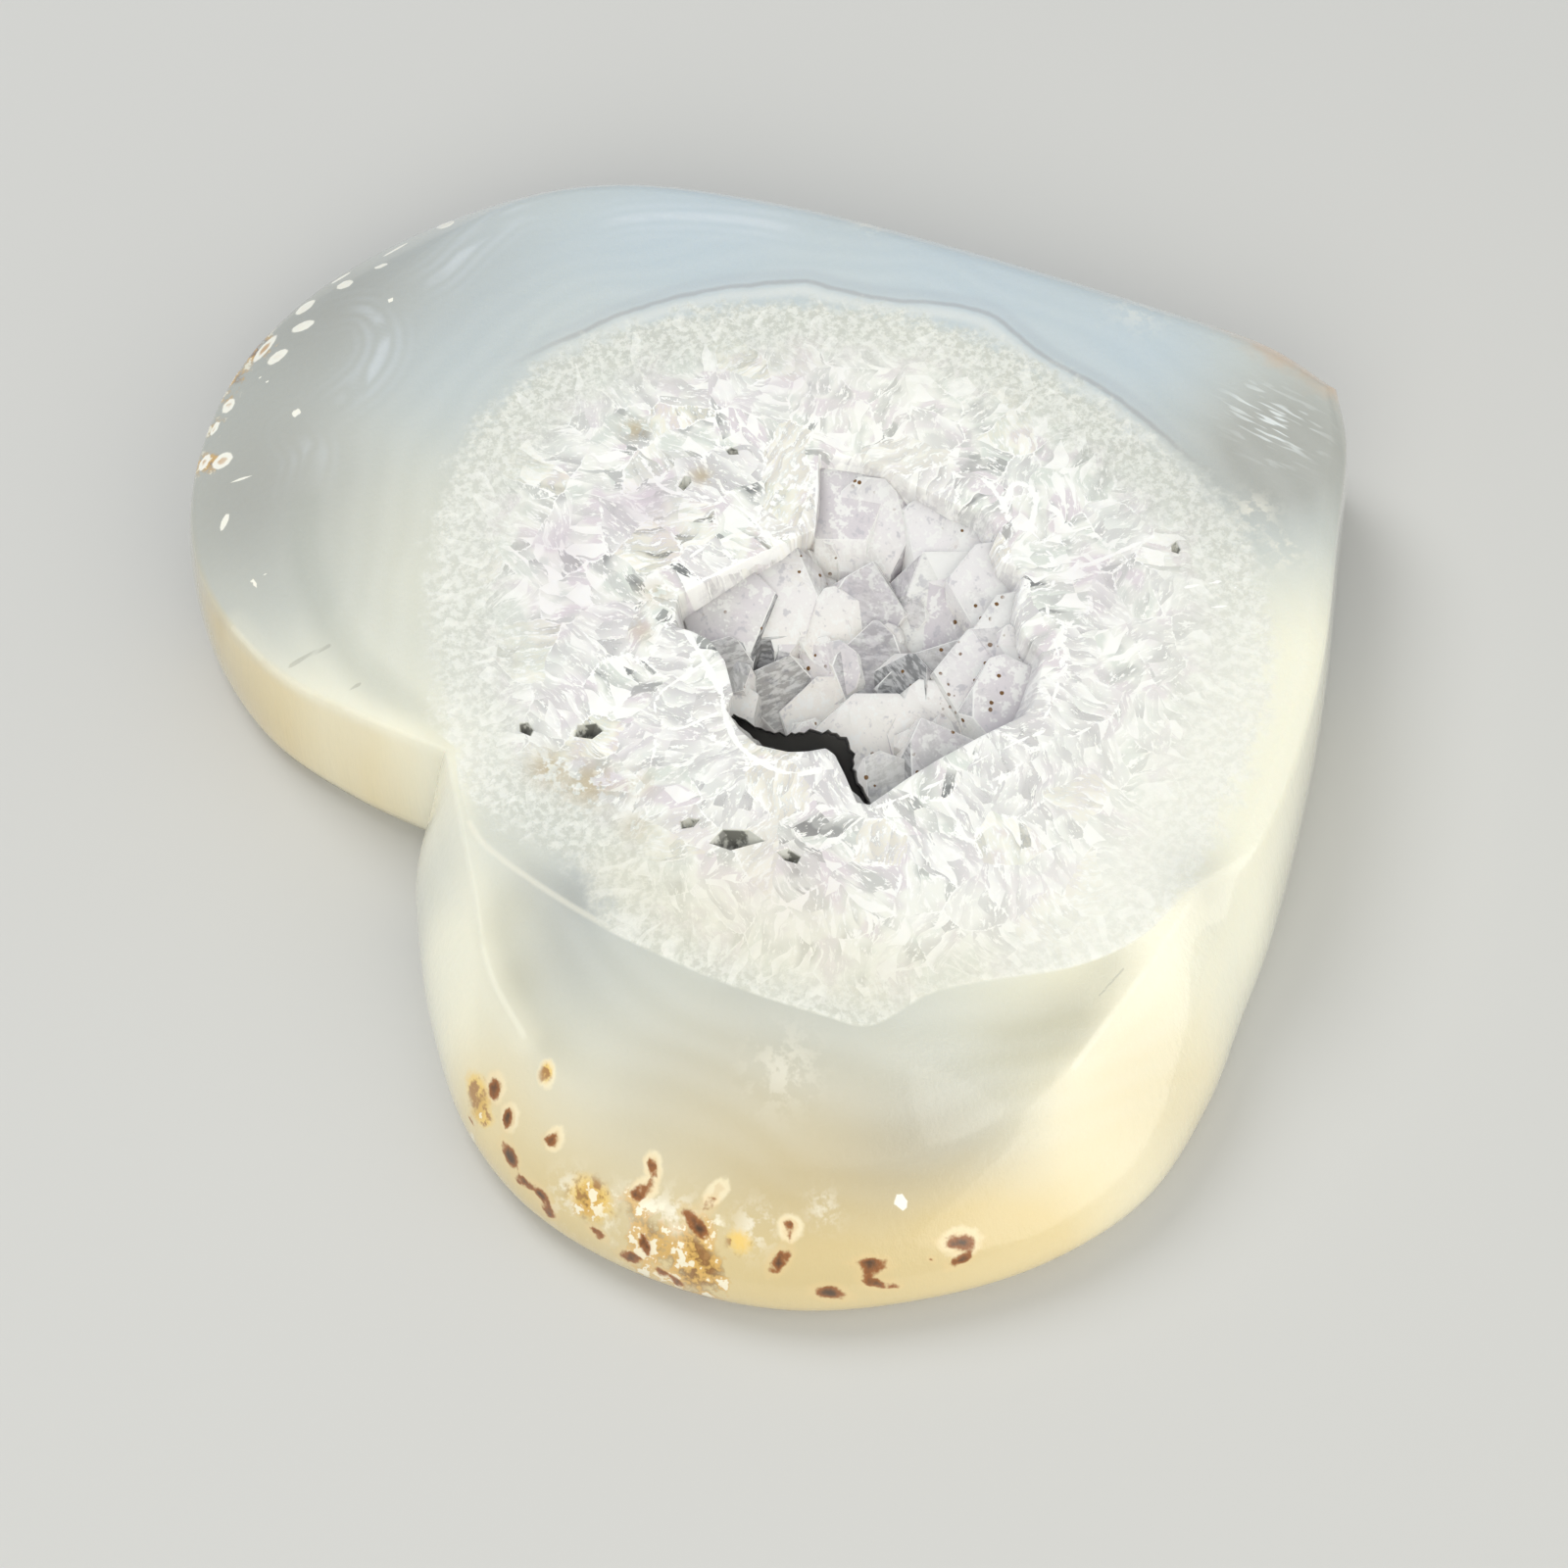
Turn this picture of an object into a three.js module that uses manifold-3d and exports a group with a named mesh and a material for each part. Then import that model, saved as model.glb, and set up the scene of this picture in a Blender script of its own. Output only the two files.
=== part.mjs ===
// A polished heart of agate: a thick chalcedony slab with slanted facets on its two lobes,
// and a bowl in its middle that is lined by a crust of quartz crystals, open at the top.
// Millimetres, +Z up. The base stands on z = 0, the tip points to -Y and the lobes to +Y.

import * as THREE from 'three';
import { LoftGeometry } from 'three/addons/geometries/LoftGeometry.js';
import { mergeVertices } from 'three/addons/utils/BufferGeometryUtils.js';
import Module from 'manifold-3d';

const wasm = await Module();
wasm.setup();

// Heights of the slab
const TABLE_Z = 13.5;
const WIDEST_Z = 2.2;
const FOOT_Z = 0.6;
const FOOT_INSET = 0.7;
const BASE_INSET = 2.1;

// The wall is part of an ellipse. It leaves the widest line upright and turns by an angle
// between these, and the facet between the wall and the table bulges where it is soft.
const CRISP_ARC = THREE.MathUtils.degToRad( 8 );
const SOFT_ARC = THREE.MathUtils.degToRad( 42 );
const WALL_STEPS = 3;
const FACET_STEPS = 3;
const FACET_BULGE = 0.35;
const SAMPLES = 4;

// The crust of quartz lines a bowl that follows the hollow, this much wider and deeper
const CRUST_WIDTH = 2.4;
const CRUST_DEPTH = 1.5;
const BOWL_SAMPLES = 56;
const CUT_ABOVE = 4;
const GAP = 0.35;

// One line for each station round the heart: the widest line, the top of the wall with its
// height, the table's edge, and how softly the wall and the facet above it are rounded, from 0
// to 1. Both halves start at the notch and end at the tip.
const RIGHT_HALF = [
	{ outline: [ 1.7, 34.8 ], ridge: [ 1.4, 33.0, 13.0 ], table: [ 1.2, 32.2 ], soft: 0.3 },
	{ outline: [ 8.0, 39.0 ], ridge: [ 7.4, 36.9, 12.2 ], table: [ 7.1, 34.2 ], soft: 0.3 },
	{ outline: [ 15.1, 42.3 ], ridge: [ 14.2, 40.4, 10.9 ], table: [ 13.6, 35.4 ], soft: 0.3 },
	{ outline: [ 22.2, 43.2 ], ridge: [ 21.7, 42.0, 9.8 ], table: [ 19.6, 34.8 ], soft: 0.6 },
	{ outline: [ 29.3, 42.4 ], ridge: [ 28.6, 41.7, 9.3 ], table: [ 25.6, 32.6 ], soft: 1 },
	{ outline: [ 37.0, 39.2 ], ridge: [ 36.2, 38.4, 9.4 ], table: [ 31.1, 28.8 ], soft: 1 },
	{ outline: [ 44.1, 32.6 ], ridge: [ 43.2, 31.8, 9.9 ], table: [ 36.7, 24.3 ], soft: 1 },
	{ outline: [ 48.2, 23.8 ], ridge: [ 47.2, 23.4, 10.4 ], table: [ 41.1, 19.3 ], soft: 1 },
	{ outline: [ 49.5, 14.0 ], ridge: [ 48.4, 13.9, 11.0 ], table: [ 44.3, 12.8 ], soft: 1 },
	{ outline: [ 48.3, 4.8 ], ridge: [ 47.4, 4.9, 11.6 ], table: [ 45.3, 5.2 ], soft: 1 },
	{ outline: [ 45.0, - 4.0 ], ridge: [ 44.2, - 3.4, 12.0 ], table: [ 42.7, - 2.6 ], soft: 1 },
	{ outline: [ 36.2, - 14.8 ], ridge: [ 35.5, - 14.1, 12.2 ], table: [ 34.3, - 13.0 ], soft: 1 },
	{ outline: [ 24.9, - 25.3 ], ridge: [ 24.2, - 24.5, 12.2 ], table: [ 23.1, - 23.1 ], soft: 1 },
	{ outline: [ 13.1, - 34.9 ], ridge: [ 12.5, - 34.1, 12.2 ], table: [ 11.5, - 32.7 ], soft: 1 },
	{ outline: [ 4.6, - 41.1 ], ridge: [ 4.1, - 40.3, 12.2 ], table: [ 3.2, - 38.8 ], soft: 1 },
	{ outline: [ - 1.9, - 43.3 ], ridge: [ - 1.9, - 42.4, 12.2 ], table: [ - 1.9, - 41.1 ], soft: 1 },
];
const LEFT_HALF = [
	{ outline: [ 1.7, 34.8 ], ridge: [ 1.4, 33.0, 13.0 ], table: [ 1.2, 32.2 ], soft: 0.2 },
	{ outline: [ - 1.3, 37.7 ], ridge: [ - 3.9, 34.4, 13.2 ], table: [ - 3.5, 33.7 ], soft: 0 },
	{ outline: [ - 6.3, 40.0 ], ridge: [ - 9.5, 36.0, 12.6 ], table: [ - 6.9, 34.0 ], soft: 0 },
	{ outline: [ - 13.5, 42.2 ], ridge: [ - 15.3, 37.7, 11.6 ], table: [ - 11.1, 32.4 ], soft: 0 },
	{ outline: [ - 21.0, 43.3 ], ridge: [ - 21.3, 37.6, 10.3 ], table: [ - 16.1, 29.9 ], soft: 0.4 },
	{ outline: [ - 28.8, 42.0 ], ridge: [ - 26.9, 35.4, 9.2 ], table: [ - 20.3, 27.2 ], soft: 1 },
	{ outline: [ - 36.9, 37.3 ], ridge: [ - 32.5, 31.4, 8.9 ], table: [ - 24.9, 23.9 ], soft: 1 },
	{ outline: [ - 43.7, 30.0 ], ridge: [ - 37.5, 25.6, 8.8 ], table: [ - 30.1, 19.4 ], soft: 1 },
	{ outline: [ - 47.8, 20.8 ], ridge: [ - 40.8, 17.6, 9.2 ], table: [ - 32.2, 17.2 ], soft: 1 },
	{ outline: [ - 49.5, 12.2 ], ridge: [ - 41.6, 9.4, 10.4 ], table: [ - 32.1, 12.0 ], soft: 0.6 },
	{ outline: [ - 48.8, 3.8 ], ridge: [ - 39.5, 2.5, 11.9 ], table: [ - 35.2, 2.2 ], soft: 0.1 },
	{ outline: [ - 45.0, - 3.7 ], ridge: [ - 37.1, - 3.0, 12.8 ], table: [ - 35.4, - 2.7 ], soft: 0 },
	{ outline: [ - 40.3, - 9.8 ], ridge: [ - 34.7, - 7.6, 13.2 ], table: [ - 34.0, - 7.4 ], soft: 0.2 },
	{ outline: [ - 36.1, - 15.1 ], ridge: [ - 33.8, - 13.1, 13.0 ], table: [ - 32.8, - 12.3 ], soft: 1 },
	{ outline: [ - 25.7, - 25.7 ], ridge: [ - 24.7, - 24.7, 12.9 ], table: [ - 23.7, - 23.7 ], soft: 1 },
	{ outline: [ - 13.9, - 35.5 ], ridge: [ - 13.1, - 34.7, 12.8 ], table: [ - 12.2, - 33.6 ], soft: 1 },
	{ outline: [ - 7.1, - 40.8 ], ridge: [ - 6.6, - 40.0, 12.5 ], table: [ - 5.9, - 38.8 ], soft: 1 },
	{ outline: [ - 1.9, - 43.3 ], ridge: [ - 1.9, - 42.4, 12.2 ], table: [ - 1.9, - 41.1 ], soft: 1 },
];

// The open hollow: its outline at the floor round the slit, at half height and in the table
const HOLLOW_LEVELS = [
	{
		z: 4.2,
		outline: [
			[ 1.7, 9.4 ], [ - 0.1, 10.9 ], [ - 4.1, 11.4 ], [ - 6.9, 9.4 ], [ - 8.3, 7.3 ], [ - 12.7, 7.0 ],
			[ - 13.7, 4.4 ], [ - 12.1, 1.0 ], [ - 9.5, - 1.0 ], [ - 5.5, - 1.8 ], [ - 2.5, - 1.0 ],
			[ - 0.9, 0.8 ], [ 0.3, 3.2 ], [ 1.3, 5.8 ],
		],
	},
	{
		z: 9,
		outline: [
			[ 3.9, 11.4 ], [ - 0.8, 11.7 ], [ - 6.5, 12.7 ], [ - 9.7, 10.8 ], [ - 10.9, 8.6 ], [ - 15.1, 8.3 ],
			[ - 16.5, 3.8 ], [ - 15.1, - 2.6 ], [ - 11.5, - 5.8 ], [ - 5.3, - 8.4 ], [ 0.7, - 8.0 ],
			[ 5.7, - 5.6 ], [ 6.7, - 1.8 ], [ 3.7, 3.2 ],
		],
	},
	{
		z: TABLE_Z,
		outline: [
			[ 5.3, 12.2 ], [ - 2.8, 12.8 ], [ - 8.5, 13.8 ], [ - 11.7, 11.9 ], [ - 12.9, 9.7 ], [ - 17.1, 9.4 ],
			[ - 17.9, 3.8 ], [ - 17.5, - 5.0 ], [ - 13.5, - 8.8 ], [ - 5.9, - 13.4 ], [ 2.1, - 12.8 ],
			[ 10.9, - 9.2 ], [ 12.3, - 3.8 ], [ 5.3, 2.8 ],
		],
	},
];

const HOLLOW_MIDDLE = new THREE.Vector2( - 4.9, 2.8 );

// The slit goes right through the stone. Its line is given at the hollow's floor. It is widest
// in its middle, and leans by these shares of its height.
const SLIT_LINE = [
	[ - 1.5, 11.1 ], [ - 4.2, 10.1 ], [ - 5.8, 8.6 ], [ - 6.7, 6.6 ],
	[ - 7.8, 5.8 ], [ - 9.8, 6.3 ], [ - 12.7, 5.9 ],
];
const SLIT_WIDTH = 2.0;
const SLIT_END_WIDTH = 0.5;
const SLIT_STEPS = 12;
const SLIT_LEAN = { x: - 0.51, y: 0.28 };

// Quartz crystals are six-sided, with a tip this many times as tall as their radius
const TIP_SLOPE = 1.15;
const ROOT = 7;

// The large crystals of the hollow: where the shoulder's middle is, the radius, the way that the
// tip leans, in degrees from +X, and by how much it leans from upright
const LARGE_CRYSTALS = [
	{ at: [ - 10.5, 3.2, 4.6 ], radius: 4.0, towards: 150, lean: 24 },
	{ at: [ - 9.3, - 1.6, 6.2 ], radius: 3.4, towards: 120, lean: 34 },
	{ at: [ - 2.3, 4.4, 4.6 ], radius: 3.2, towards: 130, lean: 30 },
	{ at: [ - 5.3, 0.4, 5.6 ], radius: 2.8, towards: 110, lean: 26 },
	{ at: [ - 5.7, - 6.8, 8.2 ], radius: 4.4, towards: 125, lean: 38 },
	{ at: [ - 0.5, - 2.8, 7.4 ], radius: 3.0, towards: 140, lean: 36 },
	{ at: [ 6.7, - 6.0, 10.2 ], radius: 4.2, towards: 160, lean: 30 },
	{ at: [ 0.9, - 9.4, 10.0 ], radius: 3.6, towards: 115, lean: 32 },
	{ at: [ 3.7, 5.4, 8.8 ], radius: 3.6, towards: 170, lean: 40 },
	{ at: [ 1.9, 9.2, 7.4 ], radius: 2.6, towards: 200, lean: 44 },
	{ at: [ - 12.9, - 3.6, 8.8 ], radius: 3.6, towards: 70, lean: 36 },
	{ at: [ - 15.5, 2.2, 8.4 ], radius: 3.0, towards: 20, lean: 44 },
	{ at: [ 2.5, 1.2, 8.0 ], radius: 2.8, towards: 150, lean: 42 },
];

// Smaller crystals stand in bands up the hollow's wall, but not on its steep side over the slit
const STEEP_SIDE = new THREE.Vector2( - 0.876, 0.483 );
const STEEP_FROM = 0.4;
const WALL_BANDS = [
	{ share: 0.74, z: 6.4, count: 12, radius: 1.7, lean: 48 },
	{ share: 0.93, z: 9.6, count: 16, radius: 1.9, lean: 40 },
];

// Small open pits in the polished quartz round the hollow
const PITS = [
	[ - 15.0, 18.0 ], [ - 18.2, 15.6 ], [ - 2.3, 23.3 ], [ - 0.2, 27.0 ],
	[ 14.1, 6.7 ], [ 14.9, 2.4 ], [ - 12.5, 20.7 ], [ - 9.3, - 22.5 ],
];
const PIT_RADIUS = 1.5;
const PIT_DEPTH = 2.6;

// A small seeded generator, so that the crystals vary and are the same each time
let seed = 7;
function random() {

	seed = ( seed * 16807 ) % 2147483647;
	return seed / 2147483647;

}

function around( value, spread ) {

	return value + ( random() * 2 - 1 ) * spread;

}

// A closed geometry as a solid, with shared corners merged and empty triangles left out
function toSolid( geometry ) {

	const bare = new THREE.BufferGeometry().copy( geometry );
	bare.deleteAttribute( 'normal' );
	bare.deleteAttribute( 'uv' );
	const merged = mergeVertices( bare, 1e-4 );
	const corners = [ ...merged.index.array ];
	const triVerts = [];
	for ( let i = 0; i < corners.length; i += 3 ) {

		const [ a, b, c ] = corners.slice( i, i + 3 );
		if ( a !== b && b !== c && c !== a ) triVerts.push( a, b, c );

	}

	return new wasm.Manifold( new wasm.Mesh( {
		numProp: 3,
		vertProperties: Float32Array.from( merged.attributes.position.array ),
		triVerts: Uint32Array.from( triVerts ),
	} ) );

}

// Cuts can part off small spaces between the crystals' roots, or chips of a crystal. They are
// left out.
function largestPiece( solid ) {

	return solid.decompose().sort( ( a, b ) => b.volume() - a.volume() )[ 0 ];

}

function toGeometry( solid ) {

	const mesh = solid.getMesh();
	const geometry = new THREE.BufferGeometry();
	geometry.setAttribute( 'position', new THREE.BufferAttribute( mesh.vertProperties, 3 ) );
	geometry.setIndex( new THREE.BufferAttribute( mesh.triVerts, 1 ) );
	geometry.computeVertexNormals();
	return geometry;

}

// A smooth curve through one kind of point of each station, sampled evenly between stations
function halfCurve( half, place ) {

	const curve = new THREE.CatmullRomCurve3( half.map( place ), false, 'centripetal' );
	const points = curve.getPoints( ( half.length - 1 ) * SAMPLES );
	return points.slice( 0, - 1 );

}

// A ring round the whole heart, counterclockwise: down the left half and back up the right
function ringOf( place ) {

	const left = halfCurve( LEFT_HALF, place );
	const right = halfCurve( [ ...RIGHT_HALF ].reverse(), place );
	return [ ...left, ...right ];

}

function insetRing( ring, distance, z ) {

	return ring.map( ( point ) => {

		const inward = new THREE.Vector3( - point.x, - point.y, 0 ).normalize();
		const inset = point.clone().addScaledVector( inward, distance );
		return inset.setZ( z );

	} );

}

// Rings between two others. The curve gives each point's share of the way and of the height,
// from how far along it is and how soft its station is.
function ringsBetween( from, to, steps, softness, curve ) {

	const rings = [];
	for ( let step = 1; step < steps; step ++ ) {

		rings.push( from.map( ( start, i ) => {

			const [ way, height ] = curve( step / steps, softness[ i ].x );
			const point = start.clone().lerp( to[ i ], way );
			return point.setZ( THREE.MathUtils.lerp( start.z, to[ i ].z, height ) );

		} ) );

	}

	return rings;

}

function wallCurve( t, soft ) {

	const arc = THREE.MathUtils.lerp( CRISP_ARC, SOFT_ARC, soft );
	return [ ( 1 - Math.cos( t * arc ) ) / ( 1 - Math.cos( arc ) ), Math.sin( t * arc ) / Math.sin( arc ) ];

}

function facetCurve( t, soft ) {

	return [ t, t + soft * FACET_BULGE * t * ( 1 - t ) ];

}

function heartSlab() {

	const widest = ringOf( ( { outline: [ x, y ] } ) => new THREE.Vector3( x, y, WIDEST_Z ) );
	const ridge = ringOf( ( { ridge: [ x, y, z ] } ) => new THREE.Vector3( x, y, z ) );
	const table = ringOf( ( { table: [ x, y ] } ) => new THREE.Vector3( x, y, TABLE_Z ) );
	const softness = ringOf( ( { soft } ) => new THREE.Vector3( soft, 0, 0 ) );
	const sections = [
		insetRing( widest, BASE_INSET, 0 ),
		insetRing( widest, FOOT_INSET, FOOT_Z ),
		widest,
		...ringsBetween( widest, ridge, WALL_STEPS, softness, wallCurve ),
		ridge,
		...ringsBetween( ridge, table, FACET_STEPS, softness, facetCurve ),
		table,
	];
	return toSolid( new LoftGeometry( sections, { capStart: true, capEnd: true } ) );

}

// The bowl's shape. With a gap it is the outside of the crust, clear of the chalcedony.
function bowl( gap, top ) {

	const sections = HOLLOW_LEVELS.map( ( { z, outline } ) => {

		const points = outline.map( ( [ x, y ] ) => {

			const out = new THREE.Vector2( x, y ).sub( HOLLOW_MIDDLE );
			out.setLength( out.length() + CRUST_WIDTH - gap ).add( HOLLOW_MIDDLE );
			return new THREE.Vector3( out.x, out.y, z < TABLE_Z ? z - CRUST_DEPTH + gap : TABLE_Z );

		} );
		const curve = new THREE.CatmullRomCurve3( points, true, 'centripetal' );
		return curve.getPoints( BOWL_SAMPLES ).slice( 0, - 1 );

	} );
	if ( top > TABLE_Z ) sections.push( raised( sections.at( - 1 ), top ) );
	return toSolid( new LoftGeometry( sections, { capStart: true, capEnd: true } ) );

}

function raised( ring, z ) {

	return ring.map( ( point ) => point.clone().setZ( z ) );

}

function hollow() {

	const sections = HOLLOW_LEVELS.map( ( { z, outline } ) =>
		outline.map( ( [ x, y ] ) => new THREE.Vector3( x, y, z ) ) );
	sections.push( raised( sections.at( - 1 ), TABLE_Z + CUT_ABOVE ) );
	return toSolid( new LoftGeometry( sections, { capStart: true, capEnd: true } ) );

}

function slit() {

	const line = new THREE.SplineCurve( SLIT_LINE.map( ( [ x, y ] ) => new THREE.Vector2( x, y ) ) );
	const sides = [ [], [] ];
	for ( let step = 0; step <= SLIT_STEPS; step ++ ) {

		const t = step / SLIT_STEPS;
		const half = ( SLIT_END_WIDTH + ( SLIT_WIDTH - SLIT_END_WIDTH ) * Math.sin( t * Math.PI ) ) / 2;
		const middle = line.getPoint( t );
		const across = line.getTangent( t ).multiplyScalar( half );
		across.rotateAround( new THREE.Vector2(), Math.PI / 2 );
		sides[ 0 ].push( middle.clone().add( across ) );
		sides[ 1 ].unshift( middle.clone().sub( across ) );

	}

	const floor = HOLLOW_LEVELS[ 0 ].z;
	const depth = floor + 2 * CUT_ABOVE;
	const shape = new THREE.Shape( sides.flat() );
	const geometry = new THREE.ExtrudeGeometry( shape, { depth, bevelEnabled: false } );
	geometry.translate( 0, 0, - floor - CUT_ABOVE );
	geometry.applyMatrix4( new THREE.Matrix4().makeShear( 0, 0, 0, 0, SLIT_LEAN.x, SLIT_LEAN.y ) );
	geometry.translate( 0, 0, floor );
	return toSolid( geometry );

}

// A six-sided crystal along +Z. Its shoulder is at the origin, its root below and its tip above.
function crystal( radius, root, tip ) {

	const profile = [ [ 0, - root ], [ radius * 0.8, - root ], [ radius, 0 ], [ 0, tip ] ];
	const geometry = new THREE.LatheGeometry( profile.map( ( [ x, y ] ) => new THREE.Vector2( x, y ) ), 6 );
	return geometry.rotateX( Math.PI / 2 );

}

function placedCrystal( { at, radius, towards, lean } ) {

	const turn = THREE.MathUtils.degToRad( towards );
	const tilt = new THREE.Vector3( - Math.sin( turn ), Math.cos( turn ), 0 );
	const geometry = crystal( radius, ROOT, radius * around( TIP_SLOPE, 0.15 ) );
	geometry.scale( 1, around( 0.9, 0.1 ), 1 );
	geometry.rotateZ( random() * Math.PI / 3 );
	geometry.applyMatrix4( new THREE.Matrix4().makeRotationAxis( tilt, THREE.MathUtils.degToRad( lean ) ) );
	geometry.translate( ...at );
	return toSolid( geometry );

}

function bandCrystals( { share, z, count, radius, lean } ) {

	const rim = new THREE.Shape( HOLLOW_LEVELS[ 1 ].outline.map( ( [ x, y ] ) => new THREE.Vector2( x, y ) ) );
	rim.closePath();
	const gentle = rim.getSpacedPoints( count ).slice( 1 ).filter( ( point ) =>
		point.clone().sub( HOLLOW_MIDDLE ).normalize().dot( STEEP_SIDE ) < STEEP_FROM );
	return gentle.map( ( point ) => {

		const out = point.sub( HOLLOW_MIDDLE ).multiplyScalar( around( share, 0.06 ) );
		const towards = THREE.MathUtils.radToDeg( Math.atan2( - out.y, - out.x ) );
		return placedCrystal( {
			at: [ HOLLOW_MIDDLE.x + out.x, HOLLOW_MIDDLE.y + out.y, around( z, 0.9 ) ],
			radius: around( radius, 0.5 ),
			towards: around( towards, 14 ),
			lean: around( lean, 8 ),
		} );

	} );

}

// A pit is the space that three crystals leave between them: a three-sided point, upside down
function pit( [ x, y ] ) {

	const radius = around( PIT_RADIUS, 0.4 );
	const geometry = new THREE.ConeGeometry( radius * 2, PIT_DEPTH * 2, 3 );
	geometry.rotateX( - Math.PI / 2 ).rotateZ( random() * Math.PI ).scale( 1, 0.7, 1 );
	geometry.translate( x, y, TABLE_Z );
	return toSolid( geometry );

}

function quartzCrust() {

	const crystals = wasm.Manifold.union( [
		...LARGE_CRYSTALS.map( placedCrystal ),
		...WALL_BANDS.flatMap( bandCrystals ),
	] );
	const open = largestPiece( hollow().subtract( crystals ) );
	return largestPiece( bowl( GAP, TABLE_Z ).subtract( open ).subtract( slit() ) );

}

function agateHeart() {

	const pits = wasm.Manifold.union( PITS.map( pit ) );
	return heartSlab().subtract( bowl( 0, TABLE_Z + CUT_ABOVE ) ).subtract( pits ).subtract( slit() );

}

const agate = new THREE.Mesh(
	toGeometry( agateHeart() ),
	new THREE.MeshStandardMaterial( { color: 0xd3cdb9, roughness: 0.18, metalness: 0 } ),
);
agate.name = 'agate_heart';

const quartz = new THREE.Mesh(
	toGeometry( quartzCrust() ),
	new THREE.MeshStandardMaterial( { color: 0xeef0ec, roughness: 0.12, metalness: 0 } ),
);
quartz.name = 'quartz_crust';

const group = new THREE.Group();
group.add( agate, quartz );

export default group;
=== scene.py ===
"""A polished agate heart: chalcedony round a field of quartz, with an open, crystal-lined hollow.

Plan positions are in millimetres in the part's own frame: +Z up, the tip towards -Y, the lobes towards +Y.
"""
import math
import random

import bmesh
import bpy
import numpy as np
from mathutils import Matrix, Vector


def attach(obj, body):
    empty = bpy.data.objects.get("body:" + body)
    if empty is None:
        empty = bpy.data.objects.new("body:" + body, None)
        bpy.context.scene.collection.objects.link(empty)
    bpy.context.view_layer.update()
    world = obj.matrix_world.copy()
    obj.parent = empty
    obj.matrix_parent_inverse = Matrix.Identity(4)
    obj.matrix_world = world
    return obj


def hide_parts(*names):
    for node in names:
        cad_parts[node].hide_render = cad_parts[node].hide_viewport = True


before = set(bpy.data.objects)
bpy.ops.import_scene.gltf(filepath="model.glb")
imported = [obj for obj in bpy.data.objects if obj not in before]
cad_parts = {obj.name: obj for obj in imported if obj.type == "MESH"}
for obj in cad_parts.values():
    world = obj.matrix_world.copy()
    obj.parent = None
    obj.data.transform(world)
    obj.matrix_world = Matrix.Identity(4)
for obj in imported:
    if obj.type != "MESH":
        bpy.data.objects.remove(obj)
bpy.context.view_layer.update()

MM = 0.001

# the heart's measures

TABLE_Z = 13.5
WIDEST_Z = 2.2
FOOT_Z = 0.6
FOOT_INSET = 0.7
BASE_INSET = 2.1
CRISP_ARC = math.radians(8)
SOFT_ARC = math.radians(42)
FACET_BULGE = 0.35

# One line for each station round the heart: widest line, top of the wall with its height, edge of the
# table, and how softly the wall and its facet are rounded. Both halves run from the notch to the tip.
RIGHT_HALF = [
    ((1.7, 34.8), (1.4, 33.0, 13.0), (1.2, 32.2), 0.3),
    ((8.0, 39.0), (7.4, 36.9, 12.2), (7.1, 34.2), 0.3),
    ((15.1, 42.3), (14.2, 40.4, 10.9), (13.6, 35.4), 0.3),
    ((22.2, 43.2), (21.7, 42.0, 9.8), (19.6, 34.8), 0.6),
    ((29.3, 42.4), (28.6, 41.7, 9.3), (25.6, 32.6), 1),
    ((37.0, 39.2), (36.2, 38.4, 9.4), (31.1, 28.8), 1),
    ((44.1, 32.6), (43.2, 31.8, 9.9), (36.7, 24.3), 1),
    ((48.2, 23.8), (47.2, 23.4, 10.4), (41.1, 19.3), 1),
    ((49.5, 14.0), (48.4, 13.9, 11.0), (44.3, 12.8), 1),
    ((48.3, 4.8), (47.4, 4.9, 11.6), (45.3, 5.2), 1),
    ((45.0, -4.0), (44.2, -3.4, 12.0), (42.7, -2.6), 1),
    ((36.2, -14.8), (35.5, -14.1, 12.2), (34.3, -13.0), 1),
    ((24.9, -25.3), (24.2, -24.5, 12.2), (23.1, -23.1), 1),
    ((13.1, -34.9), (12.5, -34.1, 12.2), (11.5, -32.7), 1),
    ((4.6, -41.1), (4.1, -40.3, 12.2), (3.2, -38.8), 1),
    ((-1.9, -43.3), (-1.9, -42.4, 12.2), (-1.9, -41.1), 1),
]
LEFT_HALF = [
    ((1.7, 34.8), (1.4, 33.0, 13.0), (1.2, 32.2), 0.2),
    ((-1.3, 37.7), (-3.9, 34.4, 13.2), (-3.5, 33.7), 0),
    ((-6.3, 40.0), (-9.5, 36.0, 12.6), (-6.9, 34.0), 0),
    ((-13.5, 42.2), (-15.3, 37.7, 11.6), (-11.1, 32.4), 0),
    ((-21.0, 43.3), (-21.3, 37.6, 10.3), (-16.1, 29.9), 0.4),
    ((-28.8, 42.0), (-26.9, 35.4, 9.2), (-20.3, 27.2), 1),
    ((-36.9, 37.3), (-32.5, 31.4, 8.9), (-24.9, 23.9), 1),
    ((-43.7, 30.0), (-37.5, 25.6, 8.8), (-30.1, 19.4), 1),
    ((-47.8, 20.8), (-40.8, 17.6, 9.2), (-32.2, 17.2), 1),
    ((-49.5, 12.2), (-41.6, 9.4, 10.4), (-32.1, 12.0), 0.6),
    ((-48.8, 3.8), (-39.5, 2.5, 11.9), (-35.2, 2.2), 0.1),
    ((-45.0, -3.7), (-37.1, -3.0, 12.8), (-35.4, -2.7), 0),
    ((-40.3, -9.8), (-34.7, -7.6, 13.2), (-34.0, -7.4), 0.2),
    ((-36.1, -15.1), (-33.8, -13.1, 13.0), (-32.8, -12.3), 1),
    ((-25.7, -25.7), (-24.7, -24.7, 12.9), (-23.7, -23.7), 1),
    ((-13.9, -35.5), (-13.1, -34.7, 12.8), (-12.2, -33.6), 1),
    ((-7.1, -40.8), (-6.6, -40.0, 12.5), (-5.9, -38.8), 1),
    ((-1.9, -43.3), (-1.9, -42.4, 12.2), (-1.9, -41.1), 1),
]
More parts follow.
